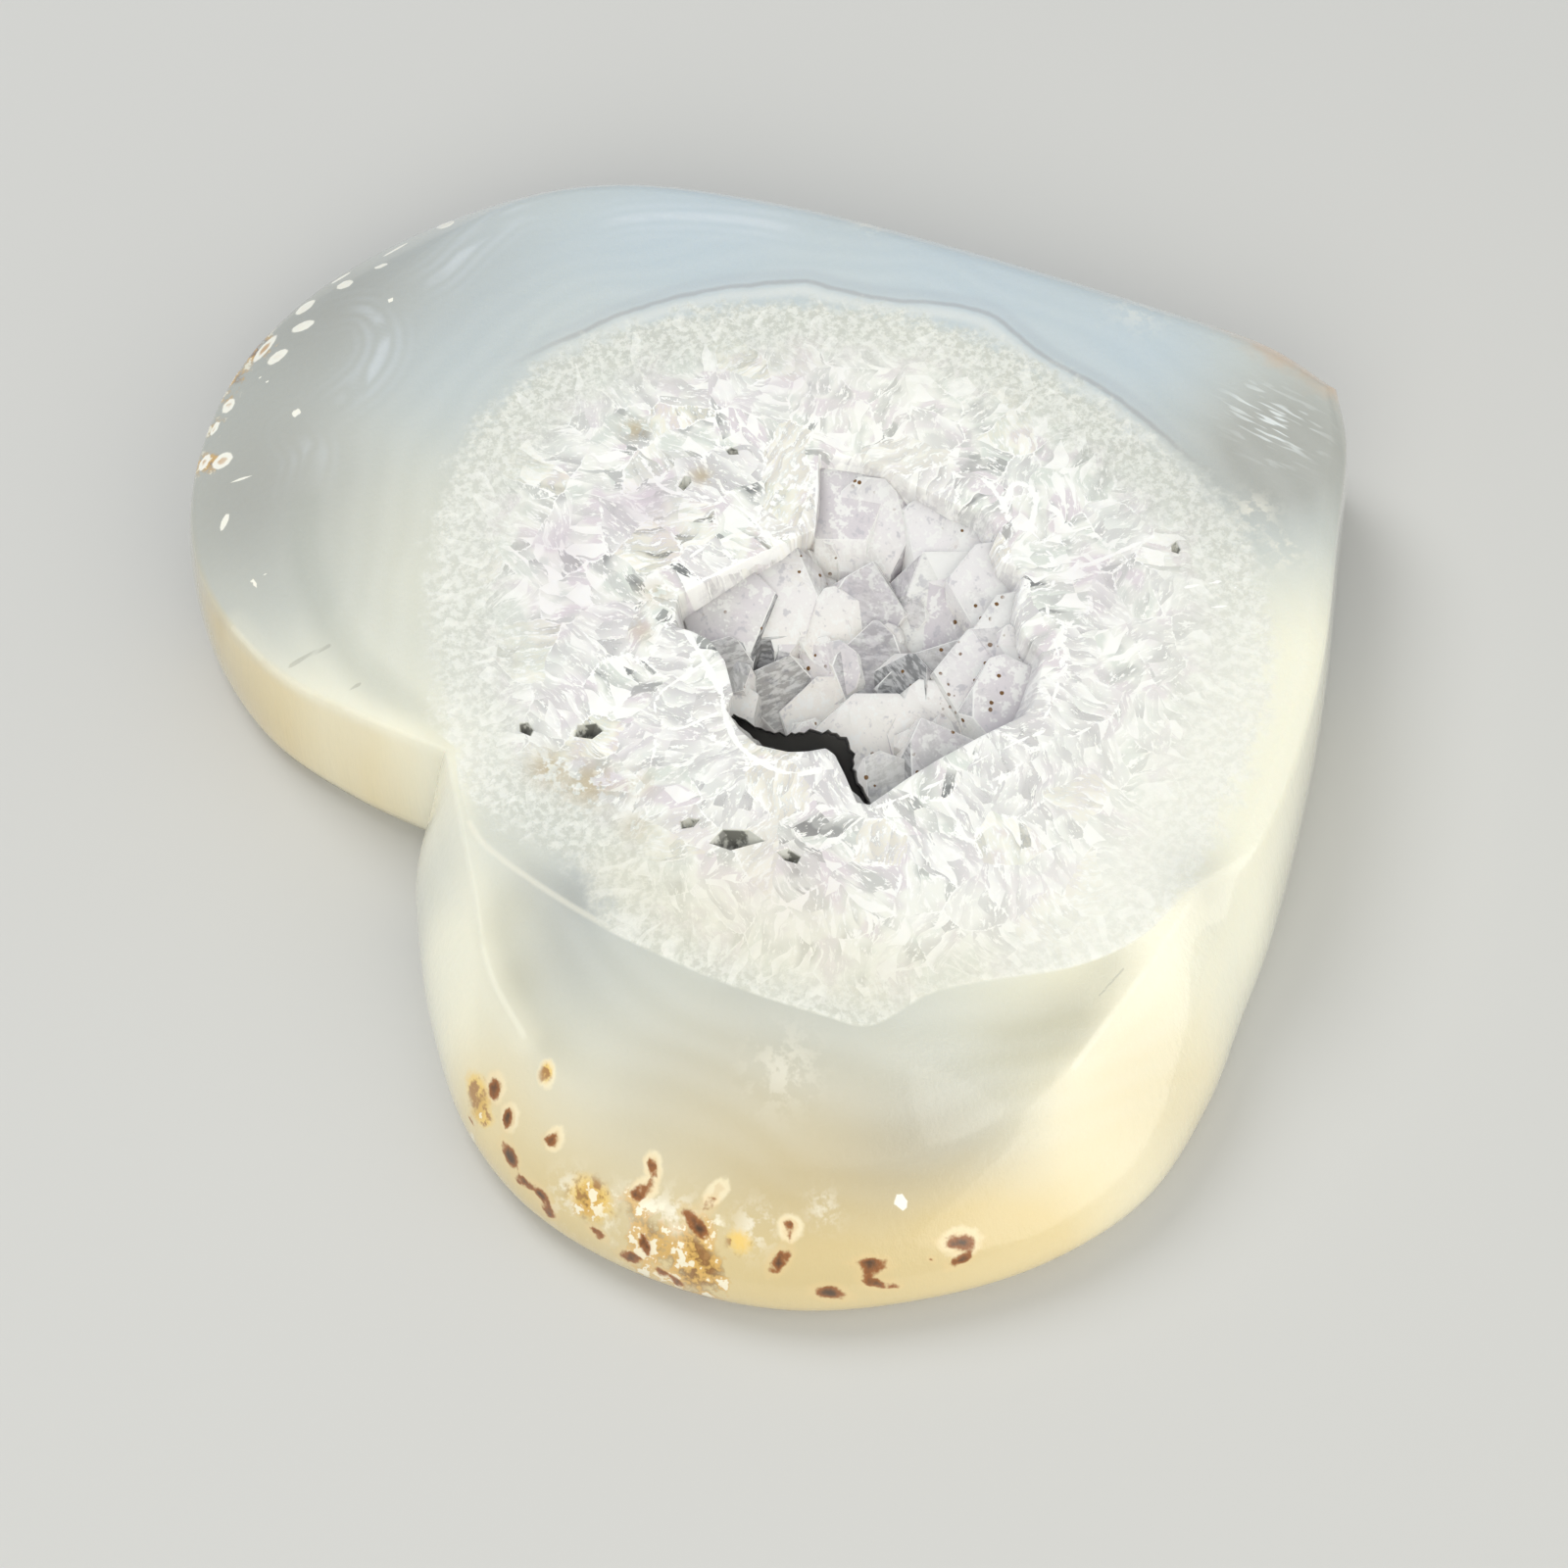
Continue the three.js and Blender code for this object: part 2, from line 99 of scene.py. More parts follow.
POINTS_PER_STATION = 16

# The hollow's outline half way down and at its floor, counterclockwise from the notch. The slab is cut
# wider and deeper than that, to leave room for the crystals' roots.
MIDDLE_Z = 9.0
MIDDLE_LINE = [(3.9, 11.4), (-0.8, 11.7), (-6.5, 12.7), (-9.7, 10.8), (-10.9, 8.6), (-15.1, 8.3),
               (-16.5, 3.8), (-15.1, -2.6), (-11.5, -5.8), (-5.3, -8.4), (0.7, -8.0), (5.7, -5.6),
               (6.7, -1.8), (3.7, 3.2)]
MIDDLE_ROOM = 0.8
FLOOR_Z = 4.2
FLOOR_LINE = [(1.7, 9.4), (-0.1, 10.9), (-4.1, 11.4), (-6.9, 9.4), (-8.3, 7.3), (-12.7, 7.0),
              (-13.7, 4.4), (-12.1, 1.0), (-9.5, -1.0), (-5.5, -1.8), (-2.5, -1.0), (-0.9, 0.8),
              (0.3, 3.2), (1.3, 5.8)]
FLOOR_ROOM = 0.6
FLOOR_DROP = 0.4

# The hollow's rim in the polished table, with the corners that the cut crystals give it
HOLLOW_RIM = [(5.0, 12.1), (3.9, 12.9), (2.6, 13.6), (1.8, 12.8), (0.4, 11.9), (-1.8, 11.8),
              (-3.2, 12.2), (-4.5, 12.6), (-5.4, 13.7), (-7.4, 13.7), (-9.2, 13.2), (-10.8, 11.5),
              (-11.4, 10.3), (-11.8, 9.0), (-12.6, 8.7), (-14.4, 8.9), (-16.8, 9.3), (-17.4, 8.6),
              (-16.8, 5.2), (-16.5, 2.5), (-16.3, -1.2), (-16.3, -5.1), (-15.5, -6.4), (-12.4, -9.0),
              (-10.8, -8.5), (-8.2, -9.0), (-6.9, -10.2), (-5.6, -11.6), (-4.0, -10.5), (-2.3, -10.7),
              (-1.2, -12.1), (0.9, -11.8), (2.4, -10.0), (5.8, -8.0), (8.2, -7.1), (9.9, -5.4),
              (11.6, -3.4), (8.4, -1.7), (5.3, 0.3), (5.4, 3.8), (5.3, 6.4), (5.1, 9.6)]

# The slit that goes right through, at the hollow's floor, and how far it leans for each mm of height
SLIT_LINE = [(-1.2, 11.0), (-3.8, 9.9), (-5.4, 8.4), (-6.4, 6.3), (-7.6, 5.4), (-9.8, 6.0),
             (-12.9, 5.9)]
SLIT_WIDTH = 2.1
SLIT_END_WIDTH = 0.35
# The slit's ragged edge: shares of its width, which one side repeats in full and the other in part
SLIT_CHIPS = [1.0, 0.84, 1.12, 0.92, 0.74, 1.08, 0.9]
SHORT_CYCLE = 5
SLIT_LEAN = Vector((-0.51, 0.28, 0))
SLIT_HEIGHTS = (-3.0, 12.6)
SLIT_PER_SPAN = 6

# Where the quartz field meets the chalcedony, counterclockwise from the notch
QUARTZ_RIM = [(0.2, 33.6), (-4.3, 33.4), (-8.0, 31.4), (-12.0, 29.6), (-15.4, 29.6), (-18.6, 30.4),
              (-26.0, 27.0), (-33.0, 21.0), (-37.0, 12.0), (-38.5, 4.0), (-37.5, -3.0), (-33.1, -9.8),
              (-28.5, -16.6), (-19.9, -24.4), (-9.5, -28.5), (0.6, -27.0), (10.4, -23.4), (18.8, -18.2),
              (25.4, -10.0), (29.3, -0.2), (30.1, 10.2), (26.5, 19.0), (18.9, 26.2), (9.7, 30.4)]


# curves

def curve_point(before, start, end, after, t):
    """A point between start and end on a centripetal Catmull-Rom curve."""
    spans = [max((b - a).length, 1e-8) ** 0.5 for a, b in ((before, start), (start, end), (end, after))]
    first = (start - before) / spans[0] - (end - before) / (spans[0] + spans[1]) + (end - start) / spans[1]
    last = (end - start) / spans[1] - (after - start) / (spans[1] + spans[2]) + (after - end) / spans[2]
    first, last = first * spans[1], last * spans[1]
    return (start + first * t + (-3 * start + 3 * end - 2 * first - last) * t ** 2
            + (2 * start - 2 * end + first + last) * t ** 3)


def open_curve(points, per_span):
    """Points along a curve through all of the given points, without the last one."""
    points = [Vector(p) for p in points]
    ends = [points[0] * 2 - points[1], *points, points[-1] * 2 - points[-2]]
    spans = range(len(points) - 1)
    return [curve_point(*ends[i:i + 4], step / per_span) for i in spans for step in range(per_span)]


def closed_curve(points, count):
    """Evenly numbered points along a closed curve through the given points."""
    points = [Vector(p) for p in points]
    size = len(points)
    result = []
    for step in range(count):
        place = step * size / count
        i = int(place)
        around = [points[(i + k - 1) % size] for k in range(4)]
        result.append(curve_point(*around, place - i))
    return result


def cornered(points, count):
    """Evenly numbered points along a closed outline with straight sides."""
    size = len(points)
    result = []
    for step in range(count):
        place = step * size / count
        i = int(place)
        result.append(mix(Vector(points[i]), Vector(points[(i + 1) % size]), place - i))
    return result


def mix(a, b, share):
    """A number or point on the way from a to b."""
    return a + (b - a) * share


def heart_ring(place):
    """A ring round the heart: from the notch down the left half to the tip, and back up the right half."""
    left = open_curve([place(s) for s in LEFT_HALF], POINTS_PER_STATION)
    right = open_curve([place(s) for s in reversed(RIGHT_HALF)], POINTS_PER_STATION)
    return left + right


def inset(ring, distance, z):
    """A ring that lies further in than another, at a height."""
    result = []
    for point in ring:
        inward = Vector((-point.x, -point.y, 0)).normalized()
        moved = point + inward * distance
        result.append(Vector((moved.x, moved.y, z)))
    return result


def rings_between(start, end, steps, softness, curve):
    """Rings between two others. The curve gives the share of the way and of the height."""
    rings = []
    for step in range(1, steps):
        ring = []
        for a, b, soft in zip(start, end, softness):
            way, height = curve(step / steps, soft)
            point = mix(a, b, way)
            point.z = mix(a.z, b.z, height)
            ring.append(point)
        rings.append(ring)
    return rings


def wall_curve(t, soft):
    """An arc that leaves the widest line upright and leans in towards the ridge, more where it is soft."""
    arc = mix(CRISP_ARC, SOFT_ARC, soft)
    return (1 - math.cos(t * arc)) / (1 - math.cos(arc)), math.sin(t * arc) / math.sin(arc)


def facet_curve(t, soft):
    """A slope that bulges where it is soft."""
    return t, t + soft * FACET_BULGE * t * (1 - t)


def straight(t, soft):
    """No bulge, at any softness."""
    return t, t


# mesh helpers

def ring_edges(bm, ring):
    """The edges of a closed ring, in order."""
    return [bm.edges.get((a, b)) for a, b in zip(ring, ring[1:] + ring[:1])]


def close(bm, ring):
    """Makes a face across a ring of vertices."""
    bmesh.ops.edgeloop_fill(bm, edges=ring_edges(bm, ring))


def first_ring(bm, points, cap):
    """A closed ring of vertices on the given points, with or without a face across it."""
    ring = bmesh.ops.create_circle(bm, cap_ends=cap, segments=len(points), radius=1)["verts"]
    for vert, point in zip(ring, points):
        vert.co = point * MM
    return ring


def extend(bm, ring, points):
    """Extrudes a closed ring of vertices onto the next ring's points."""
    made = bmesh.ops.extrude_edge_only(bm, edges=ring_edges(bm, ring))["geom"]
    fresh = {v for v in made if isinstance(v, bmesh.types.BMVert)}
    result = []
    for vert, point in zip(ring, points):
        twin = next(e.other_vert(vert) for e in vert.link_edges if e.other_vert(vert) in fresh)
        twin.co = point * MM
        result.append(twin)
    return result


def piece(name, bm, material):
    """An object with a finished mesh. Cutters get no material."""
    mesh = bpy.data.meshes.new(name)
    bm.to_mesh(mesh)
    bm.free()
    obj = bpy.data.objects.new(name, mesh)
    bpy.context.scene.collection.objects.link(obj)
    if material:
        mesh.materials.append(material)
    return obj


def distance_to_line(plan, line, closed=False):
    """The plan distance from each point to a line of points."""
    line = np.array(line, dtype=float)
    ends = np.roll(line, -1, axis=0)
    starts, ends = (line, ends) if closed else (line[:-1], ends[:-1])
    best = np.full(len(plan), 1e9)
    for a, b in zip(starts, ends):
        along = b - a
        share = np.clip(((plan - a) @ along) / max(along @ along, 1e-12), 0, 1)
        best = np.minimum(best, np.hypot(*(plan - a - share[:, None] * along).T))
    return best


def inside(plan, outline):
    """Which points lie inside a closed outline."""
    x, y = plan.T
    result = np.zeros(len(plan), dtype=bool)
    points = np.array(outline, dtype=float)
    for (x0, y0), (x1, y1) in zip(points, np.roll(points, -1, axis=0)):
        if y0 == y1:
            continue
        crosses = (y0 > y) != (y1 > y)
        result ^= crosses & (x < (x1 - x0) * (y - y0) / (y1 - y0) + x0)
    return result


def beyond(plan, outline, closed=True):
    """How far each point is outside an outline, below 0 inside it. An open one has no line at its mouth."""
    return np.where(inside(plan, outline), -1, 1) * distance_to_line(plan, outline, closed)


def store(mesh, name, values, domain="POINT"):
    """A number on each vertex or face, for the material to read."""
    attribute = mesh.attributes.new(name, "FLOAT", domain)
    attribute.data.foreach_set("value", np.asarray(values, dtype=np.float32))


# the polished slab

HOLLOW_MIDDLE = Vector((-4.9, 2.8))
TABLE_RINGS = 64
FACET_RINGS = 28
WALL_RINGS = 16
BASE_RINGS = 26
BOWL_RINGS = 9
OUTLINE_POINTS = 1260
LOW_WALL_INSET = 0.25
LOW_WALL_Z = 1.2
# The base's innermost ring, and the ring halfway across the hollow's floor, as shares of the next one out
INNERMOST = 0.06
FLOOR_HALFWAY = 0.5
# In how many steps a guide ring is the one next to a ground edge
WALL_GUIDE_STEPS = 8
GUIDE_STEPS = 4
# How far the ground edges are rounded, the far side's table edge the most, and never past this share
EASE = 0.22
FAR_EASE = 2.0
EASE_LIMIT = 0.6


def reach_towards(outline, turns):
    """How far an outline is from the hollow's middle, in one direction or in many."""
    arms = [Vector(p) - HOLLOW_MIDDLE for p in outline]
    directions = [math.atan2(p.y, p.x) for p in arms]
    return np.interp(turns, directions, [p.length for p in arms], period=math.tau)


def hollow_ring(z, outline, guide, outward=0.0):
    """A ring on an outline of the hollow, each point in the same direction as the guide ring's point."""
    arms = [p.to_2d() - HOLLOW_MIDDLE for p in guide]
    turns = [math.atan2(p.y, p.x) for p in arms]
    ring = []
    for turn, reach in zip(turns, reach_towards(cornered(outline, OUTLINE_POINTS), turns) + outward):
        x, y = HOLLOW_MIDDLE.x + math.cos(turn) * reach, HOLLOW_MIDDLE.y + math.sin(turn) * reach
        ring.append(Vector((x, y, z)))
    return ring


def eased(before, ring, after, amounts):
    """A ground edge that is rounded: three rings in place of one."""
    near, far, middle = [], [], []
    for a, b, c, amount in zip(before, ring, after, amounts):
        start = b + (a - b).normalized() * min(amount, (a - b).length * EASE_LIMIT)
        end = b + (c - b).normalized() * min(amount, (c - b).length * EASE_LIMIT)
        near.append(start)
        far.append(end)
        middle.append((start + b * 2 + end) / 4)
    return near, middle, far


def heart_slab():
    """The whole slab, ring by ring: from the base up the wall, over the table and down the hollow."""
    widest = heart_ring(lambda s: (*s[0], WIDEST_Z))
    ridge = heart_ring(lambda s: s[1])
    table = heart_ring(lambda s: (*s[2], TABLE_Z))
    soft = [min(max(p.x, 0), 1) for p in heart_ring(lambda s: (s[3], 0))]
    rim = hollow_ring(TABLE_Z, HOLLOW_RIM, table)
    middle = hollow_ring(MIDDLE_Z, MIDDLE_LINE, table, MIDDLE_ROOM)
    floor = hollow_ring(FLOOR_Z - FLOOR_DROP, FLOOR_LINE, table, FLOOR_ROOM)
    wall_guide = rings_between(widest, ridge, WALL_GUIDE_STEPS, soft, wall_curve)[-1]
    facet_guide = rings_between(ridge, table, GUIDE_STEPS, soft, facet_curve)
    table_guide = rings_between(table, rim, GUIDE_STEPS, soft, straight)
    crisp = [EASE] * len(table)
    worn = [p.x for p in heart_ring(lambda s: (FAR_EASE * s[3] if s[0][0] > 0 else EASE, 0))]
    ridge_edge = eased(wall_guide, ridge, facet_guide[0], crisp)
    table_edge = eased(facet_guide[-1], table, table_guide[0], [max(w, EASE) for w in worn])
    rim_edge = eased(table_guide[-1], rim, middle, crisp)
    foot = inset(widest, FOOT_INSET, FOOT_Z)
    base = inset(widest, BASE_INSET, 0)
    under = [[Vector((*(HOLLOW_MIDDLE * (1 - share)), 0)) + p * share for p in base]
             for share in np.linspace(INNERMOST, 1, BASE_RINGS)]
    floor_middle = [mix(Vector((*HOLLOW_MIDDLE, p.z)), p, FLOOR_HALFWAY) for p in floor]
    rings = [
        *under[:-1],
        *eased(under[-2], base, foot, crisp),
        foot,
        inset(widest, LOW_WALL_INSET, LOW_WALL_Z),
        widest,
        *rings_between(widest, ridge_edge[0], WALL_RINGS, soft, wall_curve),
        *ridge_edge,
        *rings_between(ridge_edge[2], table_edge[0], FACET_RINGS, soft, facet_curve),
        *table_edge,
        *rings_between(table_edge[2], rim_edge[0], TABLE_RINGS, soft, straight),
        *rim_edge,
        *rings_between(rim_edge[2], middle, BOWL_RINGS, soft, straight),
        middle,
        *rings_between(middle, floor, BOWL_RINGS, soft, straight),
        floor,
        floor_middle,
    ]
    bm = bmesh.new()
    ring = first_ring(bm, rings[0], cap=True)
    for points in rings[1:]:
        ring = extend(bm, ring, points)
    close(bm, ring)
    bmesh.ops.recalc_face_normals(bm, faces=bm.faces)
    return bm


def slit_cutter():
    """A leaning prism on a bent line, widest in its middle."""
    line = open_curve([(x, y, 0) for x, y in SLIT_LINE], SLIT_PER_SPAN)
    line.append(Vector((*SLIT_LINE[-1], 0)))
    sides = [[], []]
    for i, point in enumerate(line):
        share = i / (len(line) - 1)
        along = (line[min(i + 1, len(line) - 1)] - line[max(i - 1, 0)]).normalized()
        half = mix(SLIT_END_WIDTH, SLIT_WIDTH, math.sin(share * math.pi)) / 2
        across = Vector((-along.y, along.x, 0)) * half
        sides[0].append(point + across * SLIT_CHIPS[i % len(SLIT_CHIPS)])
        sides[1].insert(0, point - across * SLIT_CHIPS[i % SHORT_CYCLE])
    outline = sides[0] + sides[1]
    low, high = [[p + SLIT_LEAN * (z - FLOOR_Z) + Vector((0, 0, z)) for p in outline]
                 for z in SLIT_HEIGHTS]
    bm = bmesh.new()
    ring = first_ring(bm, low, cap=False)
    top = extend(bm, ring, high)
    close(bm, ring)
    close(bm, top)
    bmesh.ops.recalc_face_normals(bm, faces=bm.faces)
    return bm


def boolean(target, cutter, operation):
    """Applies a union or a cut, and takes the cutter away."""
    modifier = target.modifiers.new("join", "BOOLEAN")
    modifier.operation = operation
    modifier.solver = "MANIFOLD"
    modifier.object = cutter
    bpy.context.view_layer.update()
    graph = bpy.context.evaluated_depsgraph_get()
    mesh = bpy.data.meshes.new_from_object(target.evaluated_get(graph))
    target.modifiers.clear()
    target.data = mesh
    bpy.data.objects.remove(cutter)


# crystals

SIDES = 6
FACE_LEAN = math.radians(52)
# How deep a crystal is rooted, and how much narrower it is there
ROOT = 6
ROOT_TAPER = 0.9
# How far the end faces are from the axis, as shares of the radius: the broad one and the others
BROAD_FACE = 0.42
OTHER_FACES = (0.9, 1.3)
# Where crystals are cut off, under the table and above the base
UNDER_TABLE = (0.02, 0.08)
OVER_BASE = (1.2, 1.6)
EDGE_WIDTH = 0.07

# The hollow's crystals, each given by its broadest face: the face's middle, the way it faces in degrees
# from +X, how far it is tilted from level, and the crystal's radius
CRYSTALS = [
    ((-10.9, 4.0, 8.4), 151, 28, 5.4),
    ((-11.9, 0.1, 9.2), 145, 22, 4.2),
    ((-7.8, 0.7, 9.1), 95, 40, 3.4),
    ((-3.1, 7.6, 7.8), 180, 36, 3.4),
    ((-3.8, -6.4, 10.0), 151, 24, 5.8),
    ((-0.5, -0.6, 10.1), 135, 30, 4.0),
    ((-0.8, 2.1, 9.5), 165, 28, 3.6),
    ((8.2, -3.6, 12.2), 150, 12, 4.2),
    ((5.2, -4.4, 11.4), 145, 24, 4.2),
    ((1.0, -9.8, 11.9), 140, 14, 5.0),
    ((-4.9, -10.0, 11.6), 160, 20, 4.4),
    ((4.4, 8.6, 11.2), 150, 20, 4.4),
    ((3.8, 4.6, 11.2), 155, 22, 4.4),
    ((2.2, 7.4, 9.6), 140, 34, 3.6),
    ((0.0, 11.2, 9.4), 170, 36, 3.0),
    ((-10.8, -5.6, 11.0), 160, 18, 4.8),
    ((-9.0, -9.2, 12.0), 165, 12, 4.0),
    ((-13.6, -5.4, 11.6), 170, 20, 4.0),
    ((-15.0, 1.0, 10.0), 175, 26, 3.8),
    ((-14.8, 5.0, 9.4), 180, 30, 3.4),
    ((-5.8, 5.9, 7.2), 151, 28, 3.8),
    ((-4.9, 1.0, 9.1), 151, 24, 3.8),
    ((-3.4, 4.1, 8.5), 110, 34, 3.2),
    ((-8.4, -2.6, 9.6), 120, 28, 3.6),
]
# Small crystals between them: how many, their radius, the share of the way to the rim that they keep
# within, how far they stand under the surface round them, and how they are turned and tilted
SMALL_COUNT = 44
SMALL_RADIUS = (0.8, 1.7)
SMALL_BROAD_FACE = 0.55
SMALL_REACH = 0.98
SMALL_SUNK = (-0.3, 0.9)
SMALL_BELOW_TABLE = 0.9
SMALL_FACING = (80, 220)
SMALL_TILT = (5, 50)
# How fast a large crystal's say in their height falls off with its distance
PULL_FALL = 3
PULL_EASE = 0.5
# Small open pits in the polished quartz: position, half length, half width, turn in degrees
PITS = [(-15.2, 18.3, 2.0, 1.0, 62), (-18.2, 15.6, 0.9, 0.6, 20), (-2.3, 23.5, 1.2, 0.8, 70),
        (-0.2, 27.0, 0.9, 0.5, 10), (14.1, 6.7, 0.8, 0.5, 130), (14.9, 2.4, 0.7, 0.4, 40),
        (-12.5, 20.7, 0.9, 0.5, 95), (-9.3, -22.5, 0.7, 0.4, 150)]
PIT_SIDES = 5
PIT_UNEVEN = 0.4


def cut_away(bm, place, normal):
    """Cuts off what lies beyond a plane and closes the cut."""
    cut = bmesh.ops.bisect_plane(bm, geom=[*bm.verts, *bm.edges, *bm.faces], dist=1e-5, plane_co=place,
                                 plane_no=normal, clear_outer=True)
    edges = [e for e in cut["geom_cut"] if isinstance(e, bmesh.types.BMEdge) and e.is_boundary]
    if len(edges) > 2:
        bmesh.ops.edgeloop_fill(bm, edges=edges)


def crystal(middle, facing, tilt, radius, broad=BROAD_FACE, root=ROOT):
    """A six-sided quartz point, grown on one side so that one of its end faces is broad."""
    bm = bmesh.new()
    bmesh.ops.create_circle(bm, cap_ends=True, segments=SIDES, radius=radius * ROOT_TAPER)
    ring = list(bm.verts)
    bmesh.ops.translate(bm, verts=ring, vec=(0, 0, -root))
    top = [Vector((v.co.x / ROOT_TAPER, v.co.y / ROOT_TAPER, radius * 2)) / MM for v in ring]
    close(bm, extend(bm, ring, top))
    bmesh.ops.recalc_face_normals(bm, faces=bm.faces)
    out, up = math.sin(FACE_LEAN), math.cos(FACE_LEAN)
    reach = radius * math.cos(math.pi / SIDES) * out
    shares = [random.uniform(*OTHER_FACES) for _ in range(SIDES)]
    shares[SIDES // 2] = broad
    for k, share in enumerate(shares):
        turn = math.radians(360 / SIDES * k)
        normal = Vector((math.cos(turn) * out, math.sin(turn) * out, up))
        cut_away(bm, normal * reach * share, normal)

    # The broad face goes to its place
    turn = math.radians(facing + 180)
    axis = Vector((-math.sin(turn), math.cos(turn), 0))
    move = Matrix.Rotation(FACE_LEAN - math.radians(tilt), 4, axis) @ Matrix.Rotation(turn, 4, "Z")
    face = Vector((-out, 0, up)) * reach * broad
    bmesh.ops.transform(bm, verts=bm.verts, matrix=Matrix.Translation(Vector(middle) - move @ face) @ move)
    cut_away(bm, (0, 0, TABLE_Z - random.uniform(*UNDER_TABLE)), (0, 0, 1))
    cut_away(bm, (0, 0, random.uniform(*OVER_BASE)), (0, 0, -1))
    bmesh.ops.bevel(bm, geom=bm.edges, offset=EDGE_WIDTH, segments=1, profile=0.5, affect="EDGES",
                    material=-1, clamp_overlap=True)
    bmesh.ops.scale(bm, verts=bm.verts, vec=(MM, MM, MM))
    bmesh.ops.recalc_face_normals(bm, faces=bm.faces)
    return bm


def small_crystals():
    """Smaller crystals in the gaps, each nearly as high as the large ones round it."""
    made = []
    for _ in range(SMALL_COUNT):
        turn = random.uniform(0, math.tau)
        reach = math.sqrt(random.random()) * reach_towards(HOLLOW_RIM, turn) * SMALL_REACH
        x, y = HOLLOW_MIDDLE.x + math.cos(turn) * reach, HOLLOW_MIDDLE.y + math.sin(turn) * reach
        pull = [1 / (math.dist(face[:2], (x, y)) ** PULL_FALL + PULL_EASE) for face, *_ in CRYSTALS]
        height = sum(p * face[2] for p, (face, *_) in zip(pull, CRYSTALS)) / sum(pull)
        radius = random.uniform(*SMALL_RADIUS)
        middle = (x, y, min(height, TABLE_Z - SMALL_BELOW_TABLE) - random.uniform(*SMALL_SUNK))
        facing, tilt = random.uniform(*SMALL_FACING), random.uniform(*SMALL_TILT)
        made.append(crystal(middle, facing, tilt, radius, SMALL_BROAD_FACE, radius * 3))
    return made


def pit_cutter(x, y, long, short, turn):
    """The uneven space that crystals leave between them, narrowing downwards and open at the table."""
    bm = bmesh.new()
    bmesh.ops.create_cone(bm, cap_ends=True, segments=PIT_SIDES, radius1=0, radius2=2, depth=3 * short)
    for vert in bm.verts:
        vert.co.x += random.uniform(-PIT_UNEVEN, PIT_UNEVEN)
        vert.co.y += random.uniform(-PIT_UNEVEN, PIT_UNEVEN)
    shape = Matrix.Rotation(math.radians(turn), 4, "Z") @ Matrix.Diagonal((long, short, 1, 1))
    bmesh.ops.transform(bm, matrix=Matrix.Translation((x, y, TABLE_Z)) @ shape, verts=bm.verts)
    bmesh.ops.scale(bm, verts=bm.verts, vec=(MM, MM, MM))
    return bm


def joined(parts):
    """Several bmeshes as one."""
    whole = bmesh.new()
    for part in parts:
        mesh = bpy.data.meshes.new("part")
        part.to_mesh(mesh)
        part.free()
        whole.from_mesh(mesh)
        bpy.data.meshes.remove(mesh)
    return whole


# materials

class Graph:
    """Adds nodes to a tree. An input is a socket to link or a value to set."""

    def __init__(self, tree):
        self.tree = tree

    def put(self, value, socket):
        """Links another socket to this one, or sets a plain value on it."""
        if isinstance(value, bpy.types.NodeSocket):
            self.tree.links.new(value, socket)
        else:
            socket.default_value = value

    def node(self, kind, inputs, **settings):
        node = self.tree.nodes.new("ShaderNode" + kind)
        for name, value in settings.items():
            setattr(node, name, value)
        for key, value in inputs.items():
            self.put(value, node.inputs[key])
        return node

    def math(self, operation, a, b=0.0):
        return self.node("Math", {0: a, 1: b}, operation=operation).outputs[0]

    def add(self, a, b):
        return self.math("ADD", a, b)

    def times(self, first, *others):
        """Values multiplied by each other."""
        for other in others:
            first = self.math("MULTIPLY", first, other)
        return first

    def swing(self, value, middle, amount):
        """How far a value is from a middle, times an amount."""
        return self.times(self.math("SUBTRACT", value, middle), amount)

    def vector(self, operation, a, b):
        key = "Scale" if operation == "SCALE" else 1
        node = self.node("VectorMath", {0: a, key: b}, operation=operation)
        return node.outputs["Value" if operation in ("DOT_PRODUCT", "DISTANCE") else "Vector"]

    def split(self, vector):
        return self.node("SeparateXYZ", {0: vector}).outputs

    def join(self, x, y):
        return self.node("CombineXYZ", {0: x, 1: y}).outputs[0]

    def picks(self, color):
        """Three random numbers, from a cell's colour."""
        return self.node("SeparateColor", {0: color}).outputs

    def step(self, value, low, high):
        """0 below low, 1 above high, smooth between them. Low may be above high."""
        swap = low > high
        inputs = {"Value": value, "From Min": min(low, high), "From Max": max(low, high),
                  "To Min": float(swap), "To Max": float(not swap)}
        return self.node("MapRange", inputs, interpolation_type="SMOOTHSTEP").outputs[0]

    def lerp(self, share, a, b):
        return self.node("Mix", {0: share, 2: a, 3: b}, data_type="FLOAT").outputs[0]

    def blend(self, share, a, b):
        """A mix of two colours. A colour is a socket, or red, green and blue in display values."""
        a, b = [linear(*c) if isinstance(c, tuple) else c for c in (a, b)]
        return self.node("Mix", {0: share, 6: a, 7: b}, data_type="RGBA").outputs[2]

    def paint(self, color, tint, share, strength=1.0):
        """Lays a tint over a colour."""
        if strength < 1:
            share = self.times(share, strength)
        return self.blend(share, color, tint)

    def noise(self, vector, scale, detail, rough, flat="3D"):
        inputs = {"Vector": vector, "Scale": scale, "Detail": detail, "Roughness": rough}
        return self.node("TexNoise", inputs, noise_dimensions=flat).outputs["Fac"]

    def cells(self, vector, scale, feature="F1", flat="3D"):
        inputs = {"Vector": vector, "Scale": scale, "Randomness": 1.0}
        return self.node("TexVoronoi", inputs, feature=feature, voronoi_dimensions=flat).outputs

    def value(self, name):
        """A number stored on the piece."""
        return self.node("Attribute", {}, attribute_name=name).outputs["Fac"]

    def place(self):
        """The position on the piece, in millimetres."""
        return self.vector("SCALE", self.node("TexCoord", {}).outputs["Object"], 1 / MM)


